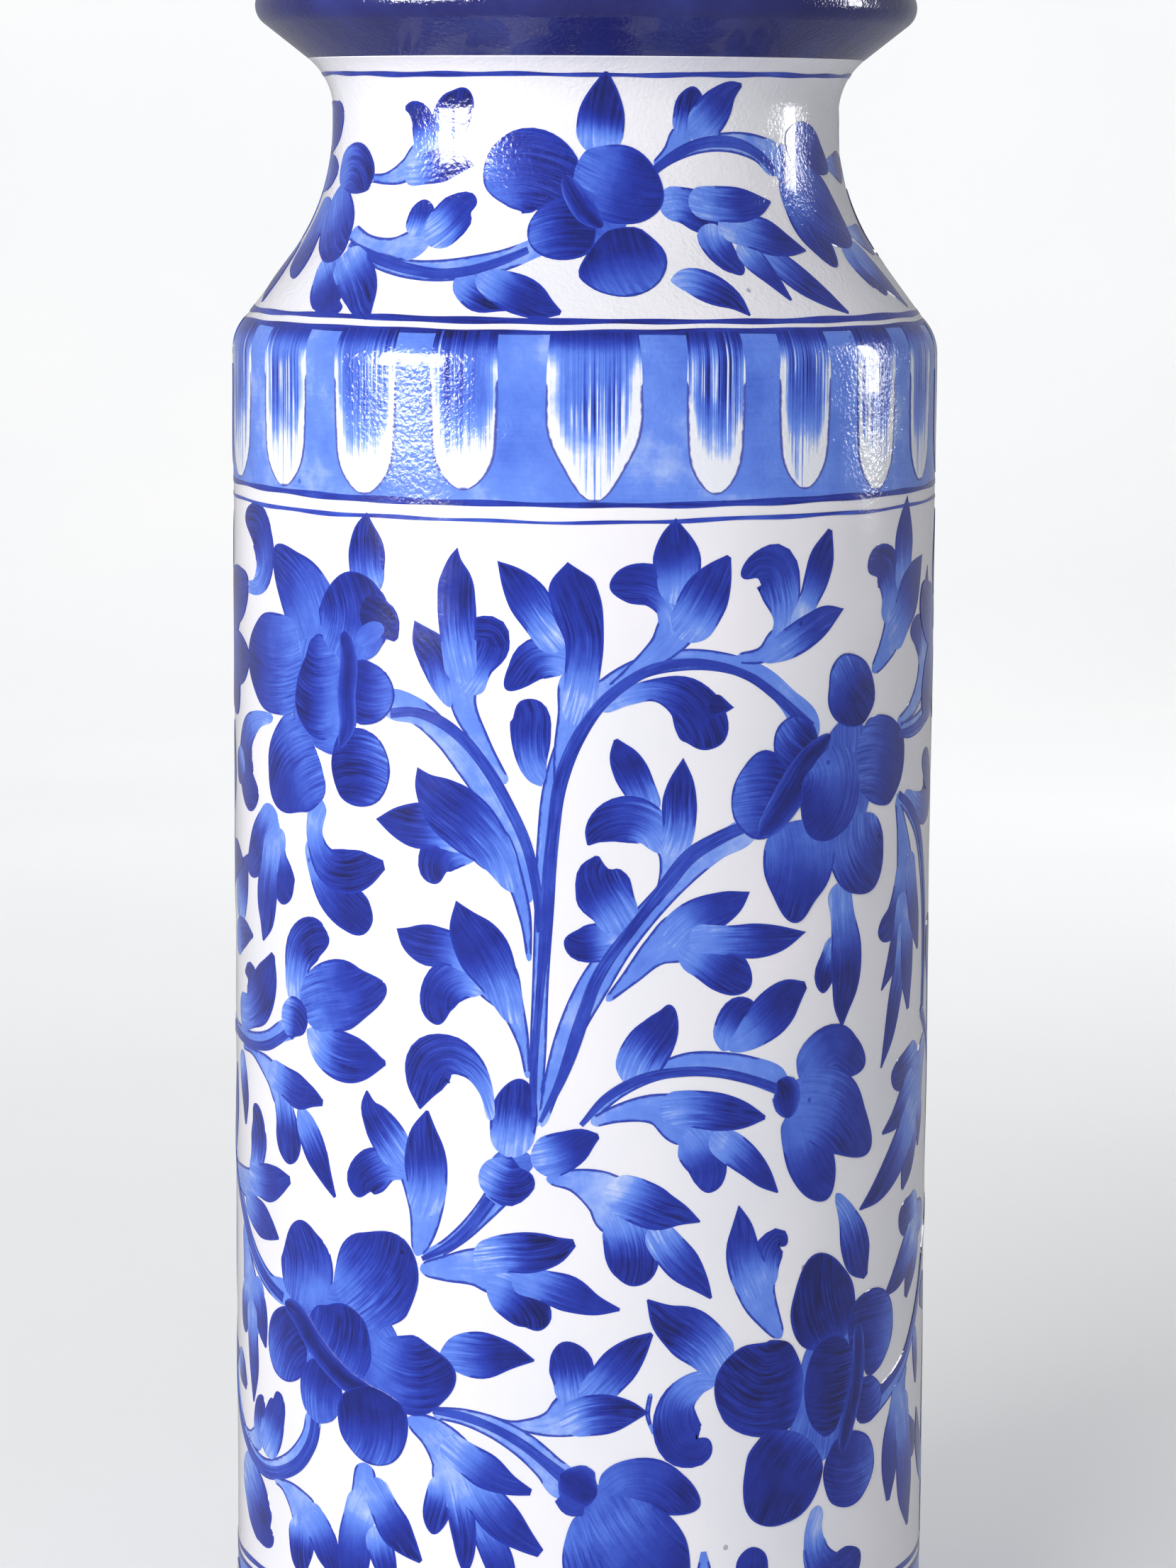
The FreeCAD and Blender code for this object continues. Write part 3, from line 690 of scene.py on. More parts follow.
        lobe((-66, 63, 3), (-61.5, 59.5, 4), (-58.5, 55, 3.8), (-56.3, 51.5, 2.2), (-55, 48.3, 0.3)),
    ],
    "bottom_centre_leaf": [
        wash((-37, 87, 1.2), (-31, 84.5, 3.6), (-27, 80.5, 5), (-25, 76, 6)),
        bulb((-28.5, 76, 2.4), (-29.5, 71, 3.2), (-30.5, 67, 2.9), (-31, 63.2, 1.4)),
        lobe((-23, 72, 2.6), (-19.5, 65, 3), (-16.5, 58.5, 3.2), (-15, 53, 2), (-14, 48.5, 0.3)),
        lobe((-25.5, 76, 2.6), (-24.8, 69, 3), (-24, 63, 2.6), (-23.8, 57.5, 1.3), (-23.8, 55.5, 0.3)),
        lobe((-24, 78, 3), (-19.5, 71.5, 4.2), (-14.8, 66.5, 4), (-11, 63.3, 2.4), (-7.9, 61, 1)),
        lobe((-29, 83, 2.4), (-24, 80.3, 3.4), (-19, 77.5, 3.8), (-14.5, 75.2, 2.3), (-9.9, 73.8, 0.7)),
    ],
    "bottom_curl": [
        wash((14.6, 94.5, 0.5), (14, 90, 0.5), (15.2, 86, 0.3)),
        wash((25.8, 50, 1.5), (26.3, 55, 1.8), (26.2, 60.3, 0.6)),
        bulb((29, 96.7, 1.5), (24.5, 96, 2.6), (20.5, 92.5, 3.8), (20, 87.5, 5), (22, 83.3, 5),
            (25, 82, 3.4), (27.4, 83.8, 0.6)),
        bulb((36, 47.5, 0.8), (38, 49.5, 2.5), (37.5, 54, 3.8), (37.3, 58, 3.3), (37.2, 60, 1.2)),
    ],
    "bottom_right_leaf": [
        wash((89.5, 90, 1.4), (87, 86, 2.6), (86, 80, 4.2), (87, 74, 5)),
        bulb((88.5, 82, 2.4), (90, 76, 3), (93.5, 72.5, 3.8), (97, 70.5, 3.5), (98.5, 70, 1.5)),
        bulb((53.3, 60, 2.2), (55, 53.5, 3.8), (59, 49.8, 3.6), (63, 48.3, 1.4)),
        bulb((54.7, 66, 1.7), (53.3, 60.5, 2.5), (55, 54.5, 3.6), (60, 50.5, 4.4), (65, 51.5, 4.2),
            (68.7, 53, 1.5)),
        lobe((85.5, 86, 2), (83.5, 80, 3.2), (81.5, 74, 4), (80.8, 68, 3.6), (80.2, 61.5, 0.8)),
        lobe((87, 84, 3), (88.3, 76, 4.4), (89.5, 68.5, 5), (90.3, 61, 4.4), (92.3, 53.2, 0.6)),
        lobe((96, 96, 1.5), (97, 91, 2), (98, 86, 1.5), (98.5, 83, 0.3)),
    ],
}
FLOWERS = {
    "side_blossom": [
        petal((-112, 250, 6), (-104, 252, 6.5), (-97, 253.5, 5.5), (-91, 256.5, 0)),
        petal((-112, 239, 6), (-103, 239, 6), (-96, 239.3, 5), (-90.5, 240.3, 1)),
    ],
    "upper_left_peony": [
        fill((-63, 226, 5), (-62.5, 235, 9), (-61, 244, 11), (-57, 251, 8), (-52, 255, 2)),
        fill((-66, 229, 3), (-60, 229.5, 5.5), (-54, 229, 5.5), (-50, 229, 2)),
        petal((-60, 249.5, 8), (-66, 255.5, 8), (-71.5, 260, 5.5), (-76.4, 264.5, 0)),
        petal((-62, 225, 9), (-67, 221, 10.5), (-71.5, 217.5, 9.5), (-75, 213.8, 6), (-77.3, 211.5, 2)),
        petal((-66, 240, 9.5), (-74, 240.3, 10.5), (-82, 240.3, 9.8), (-87.5, 240.3, 6),
            (-90.8, 240.2, 1.5)),
        lobe((-45.5, 256.5, 2), (-46.8, 261, 4.3), (-47, 266, 4.5), (-47.2, 270, 2.8), (-46.8, 273.4, 0)),
        petal((-53.8, 237, 8.5), (-57.5, 237, 10.6), (-62.5, 237, 10.2), (-66, 237.5, 6.5),
            (-67.4, 238, 2)),
        petal((-51.8, 242.5, 4), (-51.2, 247.5, 8.2), (-50.6, 252.5, 9.6), (-51, 257.3, 7.4),
            (-51.6, 261.2, 2)),
        lobe((-48.5, 253.5, 3.8), (-44.5, 252.6, 4.2), (-41.6, 250.6, 3.4), (-39.6, 248, 0.6), dark=-0.5),
        fill((-49.5, 246.8, 1.2), (-46.8, 248.4, 2.2), (-44, 249.8, 1.8), (-42.3, 250.2, 0.6)),
        cup((-51.5, 237, 6.5), (-47, 236.8, 6.6), (-43, 236.8, 5.2), (-40, 236.8, 2.5)),
        cup((-56.5, 221.5, 4.5), (-53, 221.5, 7.2), (-48, 221.3, 8), (-44, 221.2, 6.5),
            (-41.1, 221.2, 2.5)),
        dab((-52.8, 249, 1.5), (-51.5, 243, 2.3), (-52.2, 236, 2.5), (-52, 230, 2.2), (-54, 225, 1.5)),
    ],
    "upper_right_peony": [
        fill((57, 205, 3), (59, 211, 7.5), (60, 218, 9.5), (61, 225, 8), (61, 231, 3)),
        petal((63.5, 224, 5), (69, 222.5, 8.6), (75, 220.5, 9.2), (80, 219, 7), (82.5, 218, 3)),
        petal((61.5, 210, 6), (63.5, 205.5, 8.6), (66.5, 201, 8.6), (69, 197.5, 6), (70.8, 194.8, 2.4)),
        petal((48.5, 211, 7), (48, 205, 9.3), (47.3, 199.5, 8.6), (46.7, 194.5, 5.2), (46.6, 189.9, 0.6)),
        cup((66, 229.5, 3), (64, 233.5, 6.6), (61, 237.5, 7.2), (57.8, 240.8, 4.5), (56, 242, 1.5)),
        cup((46, 216, 5), (42, 216.5, 8), (37, 217, 9), (33.5, 217.5, 6.5), (31.2, 218, 2.5)),
        cup((50.5, 223.5, 3), (47, 226.5, 5.4), (44, 228.8, 4.8), (41.8, 230.5, 2)),
        dab((37.5, 208.5, 1.5), (41.5, 212.5, 3.2), (45.5, 217.5, 3.8), (49.5, 223, 3), (55.5, 228, 1.4)),
        petal((56.5, 225.5, 4), (57, 220.5, 7.3), (55.5, 215, 8.6), (52.5, 210.5, 6.2), (50, 207.5, 2.5)),
    ],
    "left_bud": [
        bulb((-67.5, 170, 3.2), (-68.5, 176, 4), (-67, 181.5, 5), (-62.5, 184.5, 4.6), (-57.5, 185, 3)),
        lobe((-64.5, 165, 1.5), (-59, 162, 4.5), (-53, 160.8, 5.3), (-47.5, 160.8, 4), (-42.2, 160.9, 0.5)),
        petal((-65, 167.5, 4), (-59.5, 172, 7), (-53, 174, 7.3), (-47, 175.2, 4.5), (-42, 176.6, 0.6)),
        bulb((-74, 167.5, 2), (-71.5, 167, 4.2), (-68, 166.5, 4.6), (-65.3, 164.5, 2)),
    ],
    "right_bud": [
        fill((45.5, 156, 2.5), (48.5, 154, 4.5), (52, 151, 5), (55, 147, 3)),
        petal((48, 157.5, 2), (52.5, 160.5, 5.4), (58, 161.8, 5.9), (63, 160, 4.5), (68, 157.8, 0.9)),
        petal((46.5, 151, 3.5), (48.8, 146, 5.4), (51.3, 140.5, 6.2), (54, 135.5, 5.2), (56.5, 131.2, 2.2)),
        petal((47.5, 155, 4.5), (53, 152.3, 7.8), (59, 148.5, 8.4), (64.5, 144, 5.8), (70.4, 139.4, 0.6)),
        dab((42.5, 157.5, 2), (44.3, 155.5, 3.4), (45, 151.8, 3), (45.3, 149.5, 1)),
    ],
    "lower_left_peony": [
        fill((-71, 97, 3), (-64.5, 101, 8), (-57, 103, 10), (-50, 102, 9.5), (-45, 97, 8), (-43, 91, 4)),
        petal((-65, 106, 5), (-65.5, 111.5, 8.6), (-65.8, 116.5, 8.8), (-66.8, 121, 5.6),
            (-67.3, 124.3, 1.5)),
        petal((-52, 106, 5), (-49, 110.5, 8.5), (-45.5, 115, 10.5), (-41.5, 119.5, 8.5), (-38, 124.8, 1.8)),
        petal((-46, 97, 5), (-40, 96.5, 7.6), (-34.5, 96.3, 8.4), (-29.5, 97, 5.4), (-25.9, 97.8, 2)),
        cup((-67, 102.5, 3), (-69.5, 100, 6.5), (-72.8, 96.3, 8), (-76, 92.5, 6), (-78, 90, 2.5)),
        petal((-58, 92, 6), (-56.5, 97, 9), (-54.5, 102, 9.4), (-53, 106, 6.5), (-52.5, 108.8, 2.5)),
        petal((-61.5, 82, 2.5), (-61, 86, 6), (-60.3, 90.5, 6.6), (-59.5, 94, 4.5), (-59, 96, 2)),
        dab((-73, 105.5, 1.5), (-68, 104, 2.6), (-63, 99.5, 2.8), (-57.5, 95.5, 2.6), (-52, 92.5, 2.4),
            (-45, 91.6, 1.8)),
        cup((-46, 92.5, 5), (-46, 88.5, 8.6), (-46, 83.5, 9), (-46.3, 79, 7), (-46.8, 76, 3)),
    ],
    "lower_right_peony": [
        fill((53, 75, 4), (55, 83, 9), (58, 91, 10), (60, 99, 9), (61, 106, 4)),
        petal((58, 99, 5), (57, 104, 8.8), (55.5, 109.5, 9.4), (54, 115, 6.6),
            (52.5, 119.8, 0.8), dark=-0.15),
        petal((50, 93, 6), (45, 93, 9.6), (38.5, 93.5, 10), (32.5, 96, 7.5), (28.8, 97.5, 3), dark=-0.15),
        petal((50, 82, 7), (47.5, 78, 9.6), (44, 73, 10.2), (40, 68.8, 7), (37, 66, 2.5), dark=-0.15),
        petal((64.5, 90, 5), (61, 90.8, 9.5), (56.5, 91.3, 10.8), (52.5, 91.3, 8),
            (50.1, 91.3, 3.5), dark=-0.15),
        cup((64, 98, 5), (67.5, 99.5, 8.2), (72.5, 100, 9.3), (77.5, 99.2, 7.4), (81, 98.2, 3)),
        cup((66, 86, 3.5), (69, 85.8, 5), (73, 86, 4.6), (76.2, 86.8, 2)),
        cup((56, 72.5, 4), (60, 72.3, 7.2), (65, 72, 8.1), (69.5, 71.8, 6.6), (73.4, 71.3, 3)),
        dab((66.5, 103, 1.2), (66.8, 97, 2.2), (66.3, 91, 2.4), (64.5, 85, 2.4), (62.5, 79.5, 2),
            (61.5, 76, 1.2)),
    ],
    "bottom_bud": [
        fill((-0.5, 74, 2), (3, 72, 4), (7, 69.5, 5), (10.5, 66, 3)),
        petal((1, 69.5, 1.5), (0.8, 65, 3.4), (1.3, 60, 4.8), (3, 54.5, 5), (5.5, 49.5, 3), (7, 47, 0.6)),
        petal((4, 75, 1.5), (9, 76.3, 4.2), (14.5, 75.5, 5.4), (19.5, 73, 4.6), (25.2, 70, 0.8)),
        petal((3, 71.5, 2.5), (6.5, 68.5, 5.8), (11, 64, 8.6), (15.5, 58.5, 8.4), (19, 53.5, 5),
            (21, 49.5, 0.6)),
        dab((-3.8, 78, 2.5), (-1, 76, 4.4), (1.5, 74.2, 4), (3.6, 73.5, 2)),
        line((-4.3, 72.8, 1), (-2, 70.8, 1.6), (1, 70.3, 1.2)),
    ],
}
NECK_STEM_WASHES = [
    wash((-54, 326.8, 1.2), (-47, 324.9, 1.4), (-40, 323, 1.6), (-33, 322, 1.9), (-27, 322, 2.2),
        (-21, 322.8, 2.3), (-15, 324.3, 2.2), (-10, 326.5, 2), (-6, 328.5, 2)),
    wash((14.5, 341.8, 0.7), (19, 344.6, 1.1), (25, 346.9, 1.5), (31, 347.8, 1.9), (37, 347.5, 2.4),
        (42, 346.3, 2.9), (46, 344.3, 3.6)),
]
NECK_STEM_LINES = [
    line((-53.5, 326.8, 0.6), (-47, 325, 0.9), (-40, 323.2, 1), (-33, 321.9, 1), (-27, 321.3, 1),
        (-22, 321.9, 1), (-16, 323.9, 0.9), (-11, 326.2, 0.7)),
    line((14.8, 342, 0.9), (19, 344.8, 1), (25, 347.3, 1.1), (31, 348, 1.2), (37, 347.2, 1.1), (42, 345, 1),
        (46, 342, 1.2)),
]
NECK_LEAVES = {
    "neck_left_leaves": [
        wash((-54, 340.1, 0.8), (-48, 340.2, 1.4), (-42.5, 342, 2.6), (-39, 345, 3)),
        wash((-55, 329.3, 1.6), (-48, 327, 1.6), (-41, 326.3, 2), (-35, 327, 3)),
        bulb((-35.5, 345.5, 2.6), (-33.5, 349.5, 4), (-30.5, 353.2, 4.6), (-28, 356, 3.2),
            (-26.5, 358.3, 1)),
        bulb((-36, 328.5, 3), (-36, 331.5, 3.4), (-36, 334, 3), (-36, 336, 0.8)),
        bulb((-33, 327.5, 3), (-30, 330.5, 4.6), (-27.3, 333.5, 4.4), (-25, 335.4, 2.4),
            (-23.2, 335.6, 0.6)),
        bulb((-60, 324.5, 1.6), (-57, 322, 3), (-53.5, 319, 4.2), (-50.5, 316.3, 3.8), (-48, 314, 2),
            (-45.5, 313.8, 0.5)),
        lobe((-38.5, 345, 2.6), (-38.3, 349, 3.2), (-39.3, 352.5, 3), (-42, 354.3, 1.6),
            (-43.9, 354.4, 0.4)),
        lobe((-43, 341, 2), (-37, 342.2, 3.2), (-32, 343, 3.4), (-28, 343.2, 1.8), (-24.9, 343, 0.1)),
        lobe((-54, 324.5, 2.6), (-47.5, 321, 3.8), (-43, 317.3, 3.4), (-40.3, 314, 2), (-38.5, 312.3, 0.5)),
    ],
    "neck_low_leaves": [
        lobe((-24, 320.3, 1.2), (-21, 318.6, 2.6), (-17.5, 317, 3.2), (-14.5, 315.6, 1.8),
            (-13, 314.6, 0.4)),
        lobe((-20, 321, 1.5), (-15, 319, 3.2), (-10.5, 317, 3.6), (-7, 315, 2.4), (-4, 314, 0.4)),
        lobe((15.5, 320.3, 0.8), (19, 320.2, 2.6), (23, 318.6, 3.2), (26.3, 316.5, 2.2),
            (28.6, 313.4, 0.2)),
    ],
    "neck_right_leaves": [
        wash((15, 343.3, 0.6), (18.5, 346, 1.4), (21.5, 348.8, 2.6)),
        bulb((21.5, 348.5, 2.8), (23, 352.5, 3.6), (23.5, 356, 3.4), (23.8, 359, 1)),
        bulb((15.5, 335.5, 2.6), (20, 335.3, 3.6), (25, 333.5, 4.2), (29, 331.5, 4)),
        bulb((26, 331.5, 3.5), (26.3, 328.3, 3.6), (27.7, 325, 3), (29.5, 322.5, 1.8), (30, 321.3, 0.6)),
        lobe((24, 348.5, 2.4), (27.3, 352, 4.2), (30.3, 355.3, 4), (33, 358, 2.4), (35.7, 359.4, 0.4)),
        lobe((34, 328, 2.4), (38.5, 324.3, 3), (43, 320, 3.2), (47.3, 316.3, 2), (50.8, 313.4, 0.3)),
        lobe((31.5, 327.5, 2.4), (34, 324, 2.8), (36.3, 320.3, 1.8), (38.3, 316.2, 0.3)),
        lobe((28, 331.5, 2.6), (34, 330, 3.4), (39.5, 328.6, 3.8), (44.3, 327, 2.2), (48.3, 325.9, 0.2)),
        lobe((22, 335.8, 3), (29, 335.4, 3.6), (35, 335.2, 3.4), (39.5, 335.3, 2), (42.8, 335.8, 0.2)),
    ],
    "neck_edge_leaves": [
        bulb((62.5, 327, 2.4), (65.5, 322.5, 3.8), (68, 318.5, 3), (68, 316.3, 0.8)),
        lobe((66, 326.5, 2.4), (70.5, 322, 3.8), (74, 317.8, 2.6), (76.7, 313.8, 0.4)),
        lobe((69, 329.5, 0.8), (74, 328.5, 2.2), (80, 327.5, 3.2), (86.5, 327, 0.3)),
        lobe((68, 343.3, 0.8), (73, 343, 2.2), (79, 342.7, 3.4), (86, 343.5, 0.3)),
    ],
}
NECK_FLOWERS = {
    "neck_side_blossom": [
        bulb((-92, 350, 5), (-84, 350.5, 5.5), (-77, 351.5, 4.6), (-73, 353, 3), (-71, 353.5, 0.8)),
        lobe((-90, 325, 3), (-84, 322, 4), (-80, 318, 3), (-77.5, 314.2, 0.3)),
        fill((-90, 341, 2), (-85, 341, 4), (-79, 341, 3.6), (-72, 341.5, 2)),
        petal((-90, 337.5, 3.4), (-92, 333, 4.6), (-93.5, 328.5, 4.2), (-94.5, 324, 0.8)),
        petal((-84, 341, 3.5), (-78, 341, 3.6), (-72, 341.5, 2)),
        dab((-86.5, 346.5, 1.4), (-88, 341.5, 2.4), (-86.5, 336.5, 1.4)),
        petal((-74, 336, 4), (-74.5, 330, 5), (-72.5, 325.5, 4.5), (-69.3, 322.2, 3), (-66.9, 319.6, 0.4)),
        petal((-70, 336.5, 4), (-65.5, 333, 5.5), (-61, 329.3, 5.5), (-57.7, 326, 3.8),
            (-54.9, 323.7, 0.5)),
        petal((-70, 341.3, 2.5), (-65.5, 342.3, 4.5), (-60.5, 342, 5.2), (-56.5, 340.4, 4),
            (-53.5, 338.5, 1.5)),
    ],
    "neck_peony": [
        fill((-4, 343, 3), (-3, 338, 6), (0.5, 334, 6.5), (4, 330.5, 6), (6, 328, 2)),
        lobe((2.6, 345, 4.2), (3.1, 350, 5.2), (3.6, 354.5, 4.8), (4, 358.5, 2.8),
            (4.2, 361.8, 0.4), dark=0.15),
        cup((-3.5, 337, 3), (-7, 340, 7.5), (-12.5, 342, 8.6), (-17.5, 341.2, 7), (-22.2, 339.5, 2.5)),
        petal((-2.5, 341, 4), (2, 340.5, 6.5), (7.5, 339.2, 8), (12.5, 337.3, 6.2), (16.4, 335.8, 2.2)),
        cup((2, 331.5, 4), (-2, 330.7, 6), (-6.5, 330.2, 5.8), (-9.8, 330, 4), (-11.6, 330, 1.8)),
        cup((4.5, 330, 3), (6, 327, 6.8), (7.2, 323.3, 8.6), (8, 319.8, 6.4), (8.5, 317.3, 2.5)),
        dab((-4.5, 341, 1), (-2.5, 337.5, 2.2), (0.5, 333.5, 2.4), (3.5, 330.8, 2)),
    ],
    "neck_bud": [
        fill((50, 343, 2), (53, 341, 4), (57, 338.5, 4), (61, 336, 2)),
        petal((48.5, 341, 2), (50.3, 336, 3.8), (52.3, 331.3, 4.8), (54.3, 327, 4), (55.2, 322.4, 0.3)),
        petal((51, 345.5, 3.5), (55.5, 347.2, 4.8), (60, 346.5, 4.8), (64.5, 344.3, 3.4), (69, 342.2, 0.8)),
        petal((50.5, 340.5, 3), (55, 337.8, 6), (60, 334.3, 7.5), (65, 330.7, 5.5), (68.8, 328, 1.4)),
        bulb((46, 344, 3), (48.5, 343.5, 4.4), (51.5, 343.5, 3.6)),
    ],
}

# The part of the scroll that joins the front's painting to the back's, at the two sides.
SIDE_STEMS = [
    wash((114, 46, 2.4), (112, 60, 2.6), (113, 75, 2.6), (117, 92, 2.6), (120, 108, 2.4), (119, 125, 2.4),
        (115.5, 142, 2.4), (114, 158, 2.4), (116.5, 175, 2.4), (120, 190, 2.2), (120, 205, 2.2),
        (117, 220, 2.2), (115, 234, 2.2)),
    wash((98, 165, 1.6), (104, 160, 1.8), (110, 155, 1.8), (115, 148, 1.6)),
    wash((104, 112, 1.4), (110, 117, 1.6), (116, 121, 1.6)),
    wash((114, 152, 1), (119, 157, 1.5), (124, 159.3, 1.6), (128.6, 159.4, 1.4)),
    wash((119, 139, 1), (122, 134, 1.5), (125.5, 131.5, 1.7), (128.6, 129.3, 1.6)),
    wash((117, 95, 1), (120, 90, 1.4), (124, 85, 1.5), (128.6, 80, 1.4)),
]
SIDE_LINES = [
    line((113.5, 46, 1.2), (111.5, 60, 1.1), (112.6, 75, 1.1), (116.6, 92, 1.1), (119.4, 108, 1),
        (118.4, 125, 1), (115, 142, 1), (113.5, 158, 1.1), (116, 175, 1), (119.4, 190, 1),
        (119.3, 205, 0.9), (116.4, 220, 0.9), (114.5, 234, 1)),
    line((98, 165, 0.8), (104, 160.4, 0.9), (110, 155.4, 0.8), (115, 148, 0.7)),
    line((104, 111, 0.8), (110, 116.4, 0.8), (116, 120.5, 0.7)),
    line((114, 151, 0.6), (119, 156.2, 0.8), (124, 158.6, 0.9), (128.6, 158.7, 0.9)),
    line((119, 138.5, 0.6), (122, 133.2, 0.8), (125.5, 130.4, 0.9), (128.6, 127.9, 0.9)),
    line((117, 94, 0.6), (120, 88.8, 0.8), (124, 83.6, 0.9), (128.6, 78.2, 0.9)),
]
SIDE_LEAVES = [
    lobe((113, 78, 2), (119, 83, 3.8), (124.5, 86, 3.6), (130.5, 87.5, 0.4)),
    bulb((118, 96, 2), (112, 100, 4), (106.5, 101, 4), (103, 99, 2)),
    lobe((120, 130, 2), (125.5, 136, 4.2), (128.5, 143, 3.8), (129.5, 151, 0.3)),
    bulb((115, 168, 2), (110, 173.5, 4), (107.5, 179, 4.4), (108.5, 184, 2)),
    lobe((119, 190, 2), (125.5, 194, 4.4), (132, 196, 3.8), (139.5, 196, 0.4)),
    lobe((120, 204, 2), (124.5, 210, 4), (126.5, 217, 3.6), (126.8, 225, 0.3)),
    lobe((111.5, 60, 2), (106, 64.5, 3.8), (102, 70, 3.2), (100, 77, 0.3)),
]
SIDE_FLOWER = [
    fill((114.5, 255, 3), (114.5, 250, 8), (114.5, 243, 9), (114.5, 235, 6), (114.5, 231, 2)),
    petal((114, 252, 5), (115, 258, 7.4), (115.5, 264, 7), (115.5, 270.5, 2)),
    petal((121, 247, 5), (128, 249.5, 7.4), (133, 252, 6.5), (138, 255.5, 2)),
    petal((121, 241, 5), (127, 236.5, 7), (131.5, 232, 6), (135, 227.5, 2)),
    petal((108, 241, 5), (103, 236.5, 6.6), (99.5, 231.5, 5.6), (97.5, 226.5, 1.5)),
    petal((107, 247, 5), (101.5, 249, 6.6), (97, 252, 5.5), (93.8, 256, 1.5)),
    cup((114.5, 241, 5), (114.5, 236, 7), (114.5, 231, 7), (114.5, 225.5, 3)),
    dab((108, 246, 1.5), (112, 248, 2.6), (117, 248, 2.6), (121, 245.5, 1.5)),
]
# The tongues in front, in order: where each stands, its half width and the height of its tip.
TONGUES = [
    (-97.5, 9, 277.5), (-72.4, 8.1, 277.3), (-47.6, 7.9, 277), (-24.6, 7.2, 278.7), (2, 9.6, 276.8),
    (27, 6.3, 278), (47.9, 6.6, 278.5), (69.6, 6.9, 277.2), (90.5, 6.6, 278),
]
TONGUES_BEHIND = 12
NARROW_TIP = 9.2  # a tongue with a half width above this draws in to a point
BAND_LOW, BAND_HIGH = 276.3, 310.3
BORDER_LOW, BORDER_HIGH = 11.4, 42.5
MIRRORED = 318.6  # the height of a tip in the band and in the lower border add up to this
BORDER_TURN = 11  # how far the lower border's tongues are moved round from the band's
GROUND_LOAD = 0.20
TONGUE_LEVEL = 0.05
RING_LEVEL = 0.09

# Every ring of the painting: name, height, half width, load and how much its height wavers.
RINGS = [
    ("mouth_ring", 361.4, 0.45, 0.80, 0.20),
    ("neck_foot_ring", 312.4, 0.55, 0.90, 0.12),
    ("band_top_ring", BAND_HIGH, 0.5, 0.95, 0.12),
    ("band_bottom_ring", BAND_LOW, 0.6, 0.92, 0.15),
    ("under_band_ring", 273.0, 0.38, 0.72, 0.30),
    ("border_ring", 45.0, 0.5, 0.85, 0.20),
    ("border_top_ring", BORDER_HIGH, 0.5, 0.92, 0.20),
]

# The strokes drawn first: name, how far they stand off the lowest paint, strokes, radius unrolled at.
LAYERS = [
    ("stem_washes", 0.0, STEM_WASHES, WALL_RADIUS),
    ("stem_lines", 0.10, STEM_LINES, WALL_RADIUS),
    ("side_stem_wash", 0.0, SIDE_STEMS, WALL_RADIUS),
    ("side_stem_line", 0.11, SIDE_LINES, WALL_RADIUS),
    ("side_leaves", 0.05, SIDE_LEAVES, WALL_RADIUS),
    ("side_flower", 0.13, SIDE_FLOWER, WALL_RADIUS),
    ("neck_stem_washes", 0.0, NECK_STEM_WASHES, NECK_REFERENCE),
    ("neck_stem_lines", 0.10, NECK_STEM_LINES, NECK_REFERENCE),
]

# Groups of motifs: strokes by name, how far they stand off, how much more the next stands, radius.
MOTIFS = [
    (LEAVES, 0.045, 0.0023, WALL_RADIUS),
    (FLOWERS, 0.14, 0.0023, WALL_RADIUS),
    (NECK_LEAVES, 0.05, 0.0, NECK_REFERENCE),
    (NECK_FLOWERS, 0.14, 0.0, NECK_REFERENCE),
]


def ring_piece(name, height, half, load, waviness):
    """A line turned on the wheel: its width and height waver a little as the brush goes round."""
    phase = height * 1.7

    def edge(turn, side):
        wave = np.sin(2 * turn + phase) + 0.5 * np.sin(7 * turn + 2 * phase) + 0.3 * np.sin(19 * turn)
        width = 1 + 0.18 * np.sin(5 * turn + phase) + 0.15 * np.sin(23 * turn - phase)
        return height + waviness * wave + side * half * width

    low, high = partial(edge, side=-1), partial(edge, side=1)
    return painted(name, [hoop(low, high, RING_LEVEL, load, bristle=0.3, seed=height)])


def ground_piece(name, low, high):
    """The blue wash laid all round under a border's tongues."""

    def level(turn, height):
        return turn * 0 + height

    bottom, top = partial(level, height=low), partial(level, height=high)
    return painted(name, [hoop(bottom, top, PAINT, GROUND_LOAD, bristle=0.08, seed=low, rows=80)])


def band_tongues():
    """Every tongue round the shoulder band: the front's, and evenly spaced ones round the back."""
    circumference = 2 * math.pi * WALL_RADIUS
    first, last = TONGUES[0][0] + circumference, TONGUES[-1][0]
    step = (first - last) / (TONGUES_BEHIND + 1)
    behind = [
        (last + step * k, 7.3 + 0.8 * math.sin(2.3 * k), 277.6 + 0.7 * math.sin(1.7 * k))
        for k in range(1, TONGUES_BEHIND + 1)
    ]
    return TONGUES + behind


def tongue(x, half, bottom, top):
    """A tongue hanging from the border's dark edge, or standing on it when bottom is above top."""
    drop = bottom - top
    pinch = 0.72 if half > NARROW_TIP else 1.0
    return stroke(
        "tongue",
        (x, top, half * 0.94), (x, top + 0.3 * drop, half), (x, top + 0.6 * drop, half * 0.98),
        (x, top + 0.82 * drop, half * 0.86 * pinch), (x, bottom, 1),
    )


# ---- materials ----
def srgb(red, green, blue):
    """A colour given in 8-bit sRGB, as Blender's linear values."""
    linear = [((c / 255 + 0.055) / 1.055) ** 2.4 if c > 10 else c / 3294.6 for c in (red, green, blue)]
    return (*linear, 1)


